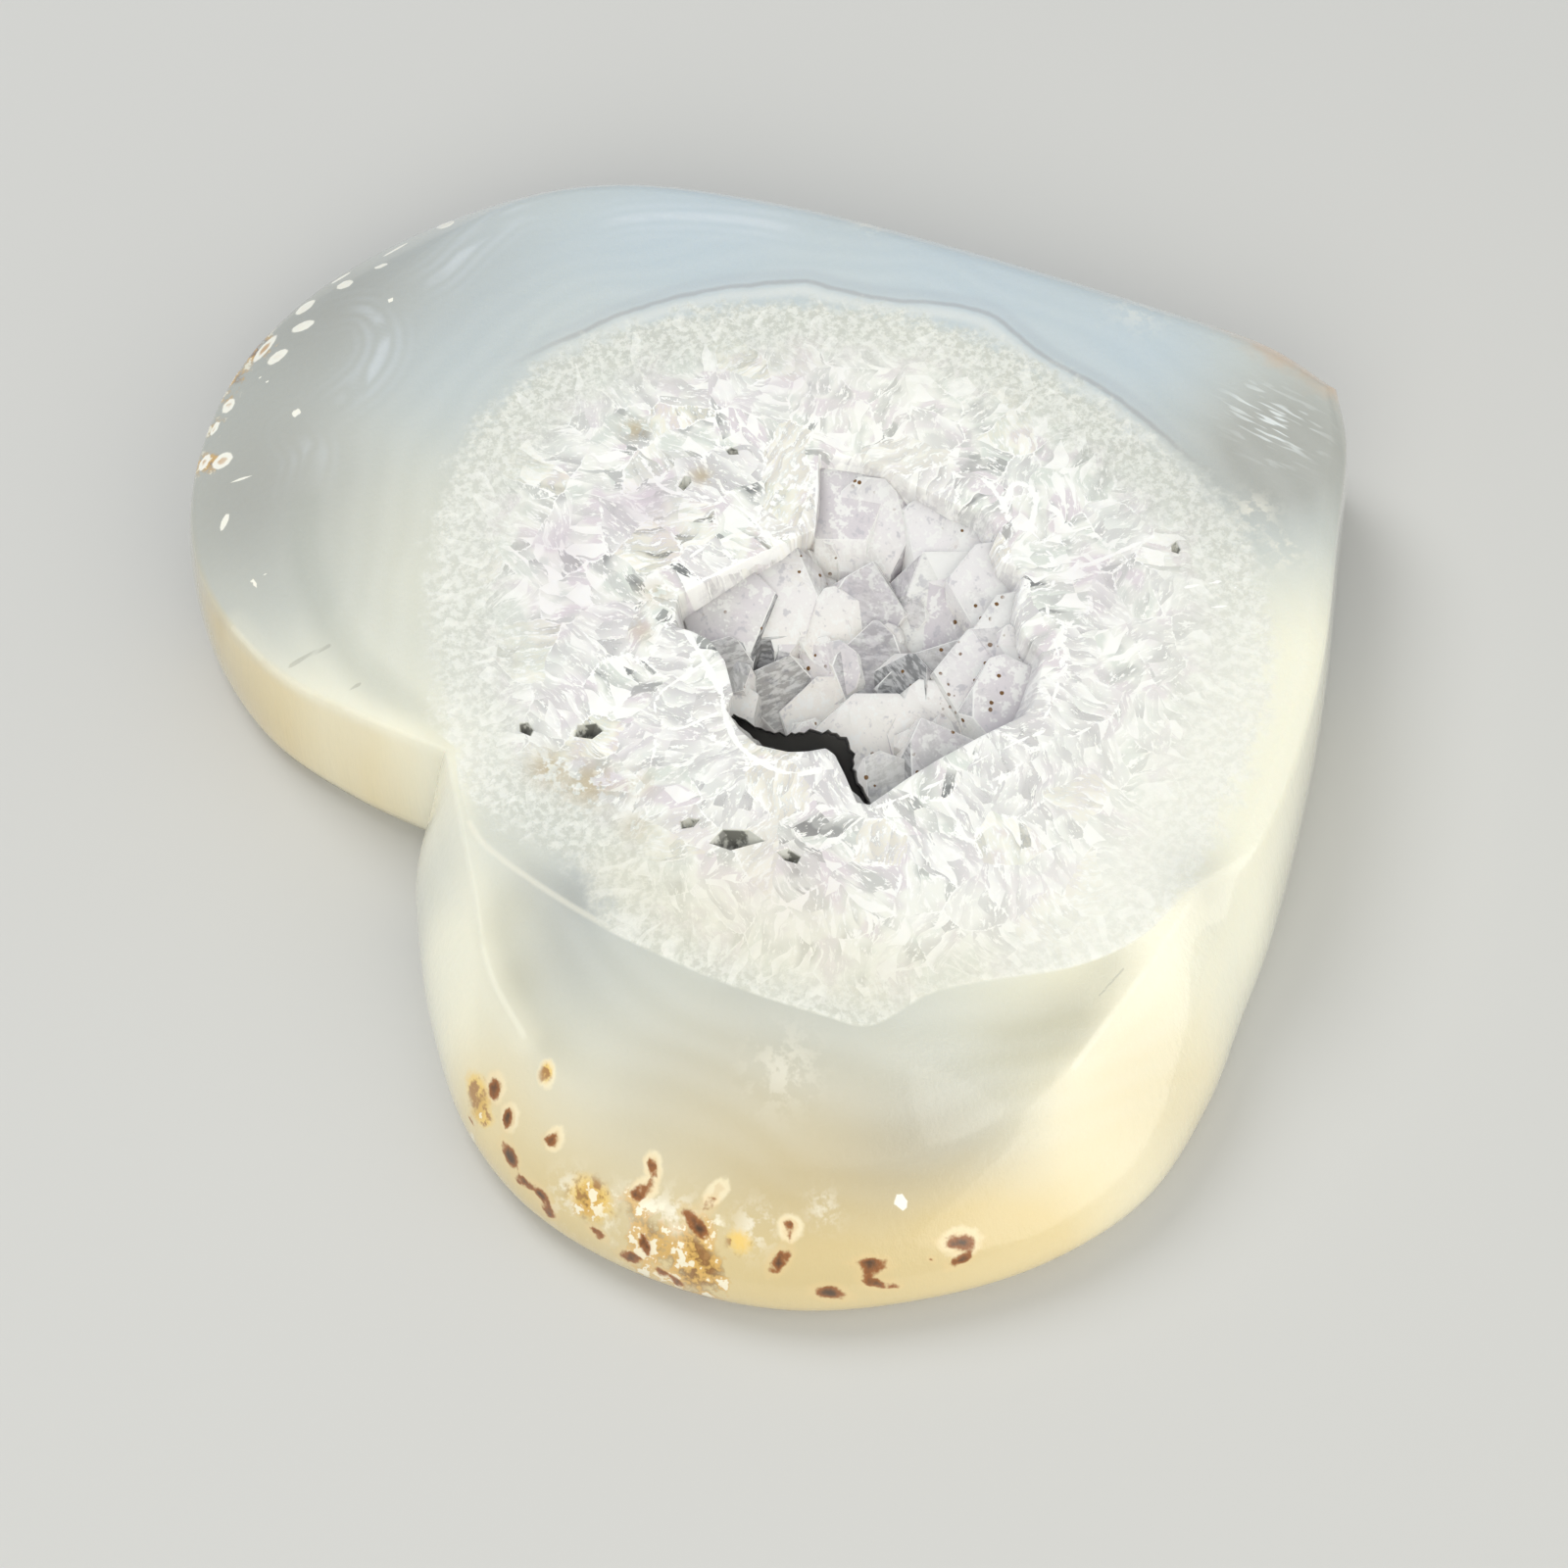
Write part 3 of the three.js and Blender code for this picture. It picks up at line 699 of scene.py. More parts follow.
def linear(r, g, b):
    """A colour given in 0 to 255 display values."""
    return (*[((c / 255 + 0.055) / 1.055) ** 2.4 if c > 10 else c / 255 / 12.92 for c in (r, g, b)], 1)


def group(name, inputs, outputs):
    """An empty node group. Each socket is a name and a kind."""
    tree = bpy.data.node_groups.new(name, "ShaderNodeTree")
    for way, sockets in (("INPUT", inputs), ("OUTPUT", outputs)):
        for label, kind in sockets:
            tree.interface.new_socket(label, in_out=way, socket_type="NodeSocket" + kind)
    source = tree.nodes.new("NodeGroupInput")
    target = tree.nodes.new("NodeGroupOutput")
    return Graph(tree), source.outputs, target.inputs


def new_material(name):
    """A material, the graph for its nodes, and its main shader."""
    material = bpy.data.materials.new(name)
    material.use_nodes = True
    return material, Graph(material.node_tree), material.node_tree.nodes["Principled BSDF"]


def set_values(shader, values):
    for name, value in values.items():
        shader.inputs[name].default_value = value


# Quartz columns to a millimetre
COLUMN_SCALE = 0.27


def quartz_group():
    """Intergrown quartz under a polished cut: columns that grew from the rim towards the hollow, each with
    shards and streaks of its own, and dull fine grain at the rim. The shards carry painted light and shade
    by how they lean. The pattern runs straight down."""
    g, given, out = group("quartz_grain", [("Depth", "Float"), ("Cream", "Float")],
                          [("Color", "Color"), ("Height", "Float")])
    place = g.place()
    grain = g.noise(place, 1.6, 3, 0.7, flat="2D")
    drift = g.noise(place, 0.4, 1, 0.5, flat="2D")
    other = g.noise(g.vector("ADD", place, (37.0, 11.0, 0.0)), 0.3, 1, 0.5, flat="2D")
    inner = g.step(given["Depth"], 2.5, 9.0)
    core = g.step(given["Depth"], 9.0, 17.0)

    # Columns, each turned away from the hollow's middle by an angle of its own
    shift = g.join(g.math("SUBTRACT", drift, 0.5), g.math("SUBTRACT", other, 0.5))
    bent = g.vector("ADD", place, g.vector("SCALE", shift, 1.3))
    column = g.cells(bent, COLUMN_SCALE, flat="2D")
    column_pick = g.picks(column["Color"])
    edge = g.cells(bent, COLUMN_SCALE, "DISTANCE_TO_EDGE", flat="2D")["Distance"]
    x, y, _ = g.split(g.vector("SUBTRACT", column["Position"], (*HOLLOW_MIDDLE, 0)))
    lean = g.add(g.math("ARCTAN2", y, x), g.swing(column_pick[0], 0.5, 2.2))
    angle = g.times(lean, -1.0)
    turned = g.node("VectorRotate", {"Vector": bent, "Angle": angle}, rotation_type="Z_AXIS").outputs[0]

    # Long shards in each column, each with painted light and shade by the way it leans
    along = g.vector("MULTIPLY", turned, (0.5, 1.5, 0.0))
    shard = g.cells(along, 0.62, flat="2D")
    shard_pick = g.picks(shard["Color"])
    leaning = g.vector("SUBTRACT", shard["Color"], (0.5, 0.5, 0.5))
    slope = g.vector("DOT_PRODUCT", g.vector("SUBTRACT", along, shard["Position"]), leaning)
    shade = g.add(shard_pick[0], g.times(slope, 1.3))
    streak = g.noise(along, 2.0, 3, 0.7, flat="2D")

    # Milky, greenish and violet zones, with painted shade on shards, greyish and dark, where the quartz is
    # busy, and white streaks and painted highlights on the best-lit shards
    color = g.blend(g.step(other, 0.5, 0.62), (243, 244, 238), (226, 219, 223))
    color = g.paint(color, (218, 224, 217), g.step(other, 0.46, 0.36), 0.8)
    busy = g.math("MAXIMUM", g.step(drift, 0.42, 0.6), g.times(core, 0.6))
    dull = g.times(g.step(shade, 0.5, 0.1), g.lerp(busy, 0.35, 0.95))
    color = g.paint(color, (200, 202, 199), dull)
    dark = g.times(g.step(shade, 0.18, 0.0), g.step(shard_pick[2], 0.4, 0.6))
    sliver = g.times(dark, g.lerp(core, 0.35, 1.0), busy)
    color = g.paint(color, (128, 130, 130), sliver)
    bright = g.math("MAXIMUM", g.step(streak, 0.54, 0.64), g.step(shade, 0.7, 0.76))
    color = g.paint(color, (255, 255, 252), g.times(bright, g.lerp(busy, 0.75, 1.0)))

    # Calm facets with painted light and shade by their slope, a little warm growth, and white walls between
    # the columns
    facet = g.times(g.step(column_pick[1], 0.5, 0.52), g.lerp(core, 0.5, 0.9), g.step(streak, 0.6, 0.5))
    color = g.paint(color, g.blend(g.step(slope, -0.25, 0.3), (214, 212, 213), (247, 247, 244)), facet)
    warm = g.times(g.step(column_pick[2], 0.7, 0.95), g.step(streak, 0.56, 0.44))
    color = g.paint(color, (242, 235, 210), warm, 0.4)
    width = g.times(g.lerp(core, 0.02, 0.075), g.lerp(grain, 0.1, 1.6))
    walls = g.times(g.math("LESS_THAN", edge, width), g.step(drift, 0.46, 0.52), g.step(streak, 0.4, 0.5))
    color = g.paint(color, (255, 255, 253), walls)

    # Fine grain at the rim, with painted glints on the best-lit shards
    rim = g.blend(g.step(grain, 0.38, 0.62), (203, 206, 197), (230, 232, 225))
    rim = g.paint(rim, (250, 251, 246), g.step(shade, 0.75, 1.1), 0.45)
    color = g.paint(color, rim, g.math("SUBTRACT", 0.92, g.times(inner, 0.92)))
    # Cream where the cream patches reach, partly painted light
    color = g.paint(color, (252, 251, 240), given["Cream"], 0.6)
    g.put(color, out["Color"])
    g.put(grain, out["Height"])
    return g.tree


# markings, in plan

# A gap at the hollow's rim, drawn as painted shade, and white lines where crystals' cut walls stand edge
# on, in the polished quartz and round the hollow, each with half its width
DARK_CRACKS = [
    (0.22, [(1.0, 11.9), (-0.6, 11.5), (-2.2, 11.5), (-3.8, 12.2)]),
]
WHITE_LINES = [
    (0.22, [(11.3, -3.4), (8.1, -1.4), (5.3, 0.3), (5.0, 2.5), (6.6, 3.6), (8.6, 2.3), (10.8, -0.7),
            (11.6, -2.4)]),
    (0.18, [(6.6, 3.6), (7.8, 7.0), (7.7, 10.8)]),
    (0.20, [(5.3, 3.5), (5.3, 6.1), (5.4, 12.1)]),
    (0.15, [(18.2, 8.7), (14.0, 8.5), (12.1, 6.3), (9.7, 4.3), (6.7, 3.8)]),
    (0.30, [(3.2, -13.2), (0.9, -13.4), (-1.2, -13.0), (-2.2, -13.7), (0.1, -15.9), (1.7, -15.2),
            (0.2, -13.0)]),
    (0.14, [(7.1, -11.4), (5.1, -11.0), (4.3, -14.3)]),
    (0.18, [(-5.1, -13.9), (-6.8, -14.3), (-7.3, -15.9), (-7.5, -21.9)]),
    (0.15, [(-1.9, -13.8), (-5.1, -13.9), (-6.6, -13.4)]),
    (0.16, [(-6.6, -13.6), (-9.4, -11.1), (-11.8, -10.2), (-14.2, -9.4), (-17.8, -5.5)]),
    (0.14, [(-18.2, -5.5), (-18.0, -2.0), (-18.3, 2.5), (-17.8, 9.4)]),
    (0.26, [(1.8, 13.1), (-3.3, 13.3), (-8.5, 14.4), (-12.4, 12.4), (-13.3, 10.3)]),
    (0.15, [(-5.5, 14.5), (-5.0, 18.1), (-2.4, 17.9), (-1.2, 13.4)]),
    (0.12, [(0.8, -13.8), (-1.2, -16.4), (-5.5, -16.5), (-7.7, -14.3)]),
    (0.16, [(-12.6, -21.2), (-13.0, -23.1), (-14.5, -24.5), (-15.4, -24.4), (-15.2, -22.5),
            (-13.9, -20.8)]),
]

# Growth lines in the chalcedony: a grey one round the quartz, and a few arcs in the far lobe
GREY_LINE = [(30.5, 15.4), (30.7, 11.8), (30.8, 8.0), (30.8, 2.2), (29.5, -4.5), (27.7, -9.3),
             (27.0, -10.7), (23.2, -14.3), (20.6, -17.8), (18.9, -20.2), (16.7, -22.0), (10.8, -23.6),
             (6.0, -25.9), (-0.3, -27.6), (-6.3, -28.9)]
LOBE_ARCS = [
    [(43.1, 23.5), (42.0, 21.5), (40.3, 20.6), (37.4, 21.2), (35.6, 22.7), (34.4, 24.8), (33.6, 28.2)],
    [(33.7, 30.6), (30.6, 30.7), (27.3, 32.9)],
    [(41.0, 17.6), (41.4, 14.4), (43.5, 9.8), (44.6, 6.0), (43.4, 2.3)],
    [(39.8, 2.5), (39.8, -0.2), (38.5, -3.8), (35.2, -9.1), (30.7, -14.2)],
]

# Ground edges that look brighter, as light comes through the stone there
BRIGHT_EDGES = [
    [s[1][:2] for s in LEFT_HALF[:5]],
    [(-41.0, 6.0), *(s[1][:2] for s in LEFT_HALF[10:13])],
    [s[1][:2] for s in RIGHT_HALF[:4]],
]
# A painted highlight along the quiet line between the near lobe's facets and the table
CREASE = [(-5.0, 34.1), *(s[2] for s in LEFT_HALF[2:13])]
# A soft fold in the far lobe, drawn as a painted shade line, and dents in the polish, drawn as painted
# shade, each with half its width
FOLD = [(26.2, 32.8), (22.5, 34.6), (19.3, 35.3), (15.5, 35.8), (11.6, 35.6), (6.7, 34.1), (1.9, 32.2)]
DENTS = [
    (0.20, [(14.6, 39.6), (13.8, 36.6)]),
    (0.14, [(10.0, 37.2), (9.6, 36.0)]),
    (0.07, [(-36.9, -0.5), (-37.8, 2.2)]),
    (0.06, [(-40.8, 3.3), (-41.2, 6.1), (-42.3, 9.5)]),
]

# Spots in the rind: position, half length, half width and turn. The last three are as seen by the camera,
# whose directions are given first.
VIEW_RIGHT = Vector((-0.4826, -0.8759, 0.0))
VIEW_UP = Vector((0.7547, -0.4158, 0.5075))
VIEW_IN = Vector((0.4446, -0.2449, -0.8616))
SPOTS = {
    "brown": [
        (-21.7, 40.8, 7.5, 0.81, 0.44, 85), (-23.9, 40.9, 6.8, 0.78, 0.34, 80),
        (-25.7, 41.8, 5.1, 1.04, 0.44, 115), (-27.6, 41.7, 4.3, 0.78, 0.34, 150),
        (-29.1, 41.1, 4.5, 0.80, 0.36, 135), (-30.0, 41.0, 3.5, 0.58, 0.36, 135),
        (-33.5, 38.9, 4.2, 0.64, 0.33, 145), (-35.8, 37.5, 3.6, 0.77, 0.44, 170),
        (-36.0, 36.6, 4.9, 0.96, 0.38, 105), (-33.3, 35.5, 7.1, 0.77, 0.56, 35),
        (-32.4, 34.0, 8.0, 0.64, 0.38, 105), (-27.0, 39.0, 7.4, 0.57, 0.46, 40),
        (-37.0, 33.1, 6.6, 1.27, 0.48, 130), (-37.7, 36.2, 3.2, 0.71, 0.31, 160),
        (-38.7, 35.5, 2.8, 0.64, 0.33, 120), (-21.5, 42.8, 4.1, 0.53, 0.11, 120),
        (-36.3, 31.7, 7.4, 0.56, 0.43, 10), (-40.4, 27.8, 7.1, 0.56, 0.38, 110),
        (-41.6, 29.3, 5.6, 0.94, 0.51, 55), (-44.8, 23.9, 5.5, 1.14, 0.51, 0),
        (-45.7, 24.2, 4.5, 0.76, 0.38, 165), (-46.3, 23.1, 4.0, 0.54, 0.31, 5),
        (-44.7, 27.0, 3.9, 1.08, 0.48, 170), (-46.5, 17.9, 5.9, 1.17, 0.59, 0),
        (-47.4, 18.4, 4.9, 0.84, 0.31, 20), (-46.3, 20.1, 5.4, 0.33, 0.15, 0),
    ],
    "rings": [
        (-23.4, 37.4, 9.6, 1.03, 0.64, 85), (-32.3, 33.9, 8.0, 1.02, 0.66, 95),
        (-33.3, 35.2, 7.2, 1.15, 0.79, 40), (-27.1, 38.8, 7.5, 0.93, 0.67, 60),
        (-36.0, 31.0, 7.8, 1.21, 0.66, 45), (-40.4, 27.7, 7.1, 0.95, 0.89, 90),
        (-46.5, 17.9, 5.9, 1.53, 1.02, 5), (-21.7, 40.7, 7.6, 1.10, 0.70, 85),
        (-23.9, 40.7, 6.9, 1.10, 0.62, 80),
    ],
    "yellow": [
        (-21.0, 41.8, 6.2, 1.44, 0.65, 110), (-22.3, 42.2, 5.5, 0.78, 0.52, 150),
        (-31.5, 38.4, 5.9, 1.41, 1.03, 140), (-38.3, 33.8, 5.4, 0.89, 0.76, 60),
        (-39.3, 31.0, 6.3, 0.76, 0.63, 120), (-39.3, 33.9, 4.7, 1.15, 0.76, 60),
        (-23.3, 37.4, 9.6, 0.62, 0.39, 80),
    ],
    "ovals": [
        (47.3, 11.3, 12.0, 0.73, 0.40, 15), (45.7, 17.8, 12.2, 0.57, 0.18, 15),
        (45.9, 21.0, 11.5, 0.69, 0.36, 20), (43.6, 25.7, 11.5, 0.96, 0.39, 22),
        (41.9, 28.7, 11.3, 0.92, 0.42, 35), (41.1, 19.0, 13.5, 0.33, 0.22, 25),
        (35.0, 29.9, 12.6, 0.38, 0.35, 60), (35.2, 36.4, 10.4, 0.88, 0.55, 30),
        (36.3, 37.6, 9.7, 0.73, 0.35, 60), (40.2, 33.8, 10.1, 0.65, 0.44, 60),
        (38.9, 35.6, 9.8, 0.65, 0.24, 65), (45.9, 24.6, 10.8, 0.90, 0.36, 40),
        (43.8, 29.1, 10.5, 1.35, 0.36, 55), (29.5, 38.6, 10.7, 0.72, 0.26, 70),
        (32.3, 36.1, 11.2, 1.01, 0.12, 12), (22.8, 38.0, 11.8, 0.31, 0.11, 20),
        (22.7, 39.0, 11.4, 0.48, 0.17, 130), (40.2, 30.5, 11.2, 0.81, 0.09, 150),
        (-42.6, 20.4, 7.8, 0.61, 0.43, 110), (47.2, 15.9, 11.6, 1.14, 0.11, 33),
        (47.3, 20.8, 10.8, 0.91, 0.11, 33),
    ],
}
# How deep into the stone a spot's colour goes from its middle
SPOT_REACH = 4.0

# Soft patches of colour: position, radius, strength
PATCHES = {
    # The chalcedony's own colours. The grey patches also hold painted shade, and the cream ones painted
    # light from light coming through the stone.
    "blue": [(36, -5, 13, 1), (21, -23, 12, 1), (7, -31, 8, 0.8), (42, 12, 9, 0.6),
             (-18.5, 35.2, 3.4, 0.3), (-14, 29.5, 3, 0.6), (32, 20, 9, 0.5), (-30, 27, 9, 0.2),
             (-12, -29, 8, 0.5)],
    "cream": [(-20, 44, 8, 0.6), (-48, 4, 14, 1), (-34, -16, 13, 1), (-23, -26, 10, 0.8),
              (-12, 40, 6, 1), (9, 42, 6, 1), (1, 37, 5, 0.8), (-41, -7, 12, 1), (13, 30, 6, 0.25),
              (2, 33, 6, 0.6), (21, 26, 8, 0.35), (12.6, -10, 7, 0.5)],
    "amber": [(-47.5, 27.5, 6.5, 0.95), (-41.5, 37, 6.5, 1), (-31, 43, 6, 0.95), (-50, 18, 6, 0.95),
              (-22, 43.5, 5, 0.8), (14, 43, 7, 0.9), (22, 44.5, 7, 0.9), (5, 38.5, 4, 0.7),
              (-45, 3, 7, 0.5), (-45, -4, 4, 0.3), (-50, 11, 5, 0.6), (-33, 31, 9, 0.5),
              (-40, 24, 7, 0.35), (-47.5, 17, 5, 0.4)],
    "grey": [(31, 36, 10, 1), (44, 24, 9, 0.9), (-5, -35.5, 7, 1), (-6.5, -33, 5, 0.6),
             (43, 12, 8, 0.4), (-13.7, 29.8, 2.4, 0.6), (-11.2, 32.4, 1.8, 0.3),
             (-33.6, -8.6, 3.0, 0.5), (-17.5, 33.8, 4.2, 0.2), (-41, 14, 6, 0.6), (-16, 33, 5, 0.4),
             (-40.5, 21, 5.5, 0.8), (-38.5, 28, 4.5, 0.7), (-31, 27, 6, 0.2), (-43.5, 2, 4.5, 0.2)],
    # Painted shade on the near lobe's facets, and calm creamy growth in the quartz
    "facet": [(-38.6, 4.5, 3.2, 1), (-37.8, 9.0, 3, 0.7), (-36.4, 0, 2.6, 0.6), (-12.5, 35.6, 2.4, 0.6),
              (-17, 36.6, 2.4, 0.7), (-21.5, 36.4, 2.6, 0.5)],
    "smooth": [(-14, 26.5, 3.4, 0.6), (-19, 23.5, 4, 0.8), (-24.5, 19.5, 4, 0.8), (-29, 15, 4, 0.8),
               (-31.5, 9, 4, 0.6), (-20, 18, 5, 0.5)],
    # Iron stain and violet growth in the quartz
    "stain": [(-6.3, 25.3, 1.7, 1), (-3.7, 27.2, 1.3, 1), (20.3, 7.9, 0.9, 1), (13.9, 5.5, 0.8, 1),
              (6, 13.5, 1.2, 0.6), (-8, 22, 1.2, 0.5), (3.5, 16, 1.0, 0.6), (-11, 24, 1.2, 0.5)],
    "violet": [(13.0, 18.0, 2.6, 0.8), (13.5, 10.4, 2.6, 1), (-9, -16, 3, 0.5), (8, 20, 3, 0.5),
               (-20, 16, 4, 0.4), (18, -6, 3, 0.4)],
    # Pale dashes in the tip, and the old rind and the golden crust on the outside
    "tip": [(-3.8, -35.8, 2.6, 1), (-0.4, -35.0, 1.8, 0.7)],
    "rind": [(-0.6, -43.4, 3.4, 1), (4.6, -41.2, 3.2, 0.9), (8.6, -38.6, 2.8, 0.6)],
    "crust": [(-35.8, 36.4, 1.9, 1), (-38.6, 34.6, 1.6, 1), (-31.6, 38.6, 1.3, 1),
              (-33.3, 36.2, 1.0, 0.7), (-40.2, 33.2, 1.4, 0.8), (-37.4, 32.9, 1.2, 0.8),
              (-21.6, 42.0, 1.3, 0.8), (44.6, 29.8, 1.5, 0.9), (42.4, 32.2, 1.2, 0.9),
              (40.7, 33.8, 1.0, 0.7), (46.4, 26.2, 1.0, 0.6), (38.9, 35.6, 1.2, 0.7),
              (36.2, 37.7, 1.3, 0.8), (35.2, 36.4, 1.2, 0.6), (44.0, 29.0, 1.6, 0.5)],
    # Frosty veils near the surface
    "frosty": [(-34.1, 36.1, 1.6, 1), (-36.2, 34.2, 1.5, 1), (-39.2, 29.8, 1.3, 0.9),
               (-30.2, 39.6, 1.2, 0.8), (-31.8, 23.5, 2.2, 0.5), (-40.6, 25.2, 1.0, 0.8),
               (-9.3, -29.3, 1.6, 0.8), (-13.4, -29.4, 1.4, 0.8), (11.5, -32.5, 2.0, 0.4),
               (30.0, -18.5, 1.2, 0.6)],
}
# The ridge parts the wall's colours from the facets' over this width
WALL_FADE = 0.8
RIDGE_STRIDE = 4
# The far side begins at this x. Its golden crust shows above a height, fully after the given rise.
FAR_SIDE_X = 2
CRUST_START = 6
CRUST_RISE = 3
# How finely the markings' curves are measured
RIM_POINTS = 260
PER_SPAN = 8
WHITE_PER_SPAN = 5


def patches(plan, marks):
    """How strongly a kind of patch colours each point."""
    total = np.zeros(len(plan))
    for x, y, radius, strength in marks:
        total += strength * np.exp(-((plan - (x, y)) ** 2).sum(1) / radius ** 2)
    return np.clip(total, 0, 1)


def spot_field(place, spots):
    """How far each vertex is from the nearest spot of a kind, where 1 is the spot's edge."""
    nearest = np.full(len(place), 9.0)
    for x, y, z, long, short, turn in spots:
        away = place - (x, y, z)
        right, up, through = [away @ np.array(axis) for axis in (VIEW_RIGHT, VIEW_UP, VIEW_IN)]
        c, s = math.cos(math.radians(turn)), math.sin(math.radians(turn))
        along, across = (right * c + up * s) / long, (up * c - right * s) / short
        nearest = np.minimum(nearest, np.sqrt(along ** 2 + across ** 2 + (through / SPOT_REACH) ** 2))
    return nearest


def nearest_curve(plan, lines):
    """How far each point is from the nearest of some curves."""
    return np.min([distance_to_line(plan, open_curve(line, PER_SPAN)) for line in lines], axis=0)


def nearest_end(plan, lines):
    """How far each point is from the nearest end of some lines."""
    ends = [end for line in lines for end in (line[0], line[-1])]
    return np.min([np.linalg.norm(plan - end, axis=1) for end in ends], axis=0)


def nearest_stroke(plan, strokes):
    """How far each point is from the nearest stroke, where 1 is the stroke's edge."""
    return np.min([distance_to_line(plan, line) / half for half, line in strokes], axis=0)


def wall_share(plan):
    """1 on the wall and 0 on the facets and the table, which start at the ridge."""
    ridge = heart_ring(lambda s: s[1][:2])[::RIDGE_STRIDE]
    return np.clip(0.5 + beyond(plan, ridge) / WALL_FADE, 0, 1)


def mark(obj):
    """Measures each vertex against the markings, for the materials to read."""
    mesh = obj.data
    place = np.empty(len(mesh.vertices) * 3)
    mesh.vertices.foreach_get("co", place)
    place = place.reshape(-1, 3) / MM
    plan = place[:, :2]
    walls = [(half, open_curve(line, WHITE_PER_SPAN) + [Vector(line[-1])]) for half, line in WHITE_LINES]
    pits = [np.hypot(*(plan - (x, y)).T) / max(long, short) / 2 for x, y, long, short, _ in PITS]
    fields = {
        "depth": -beyond(plan, closed_curve(QUARTZ_RIM, RIM_POINTS)),
        "hollow": beyond(plan, HOLLOW_RIM),
        "white": nearest_stroke(plan, walls),
        "crack": nearest_stroke(plan, DARK_CRACKS),
        "dent": nearest_stroke(plan, DENTS),
        "fold": nearest_curve(plan, [FOLD]),
        "band": beyond(plan, open_curve(GREY_LINE, PER_SPAN), closed=False),
        "ends": nearest_end(plan, [GREY_LINE]),
        "arc": nearest_curve(plan, LOBE_ARCS),
        "arc_ends": nearest_end(plan, LOBE_ARCS),
        "bright_edge": nearest_curve(plan, BRIGHT_EDGES),
        "crease": nearest_curve(plan, [CREASE]),
        "pit": np.min(pits, axis=0),
    }
    for name, spots in SPOTS.items():
        fields[name] = spot_field(place, spots)

    # On the far side the amber stays on the wall and the crust near the top. Facets end at the ridge.
    wall = wall_share(plan)
    far = plan[:, 0] > FAR_SIDE_X
    high = np.clip((place[:, 2] - CRUST_START) / CRUST_RISE, 0, 1)
    bounds = {"amber": np.where(far, wall, 1), "facet": 1 - wall, "crust": np.where(far, high, 1)}
    for name, marks in PATCHES.items():
        fields[name] = patches(plan, marks) * bounds.get(name, 1)
    for name, values in fields.items():
        store(mesh, name, values)


# the two materials

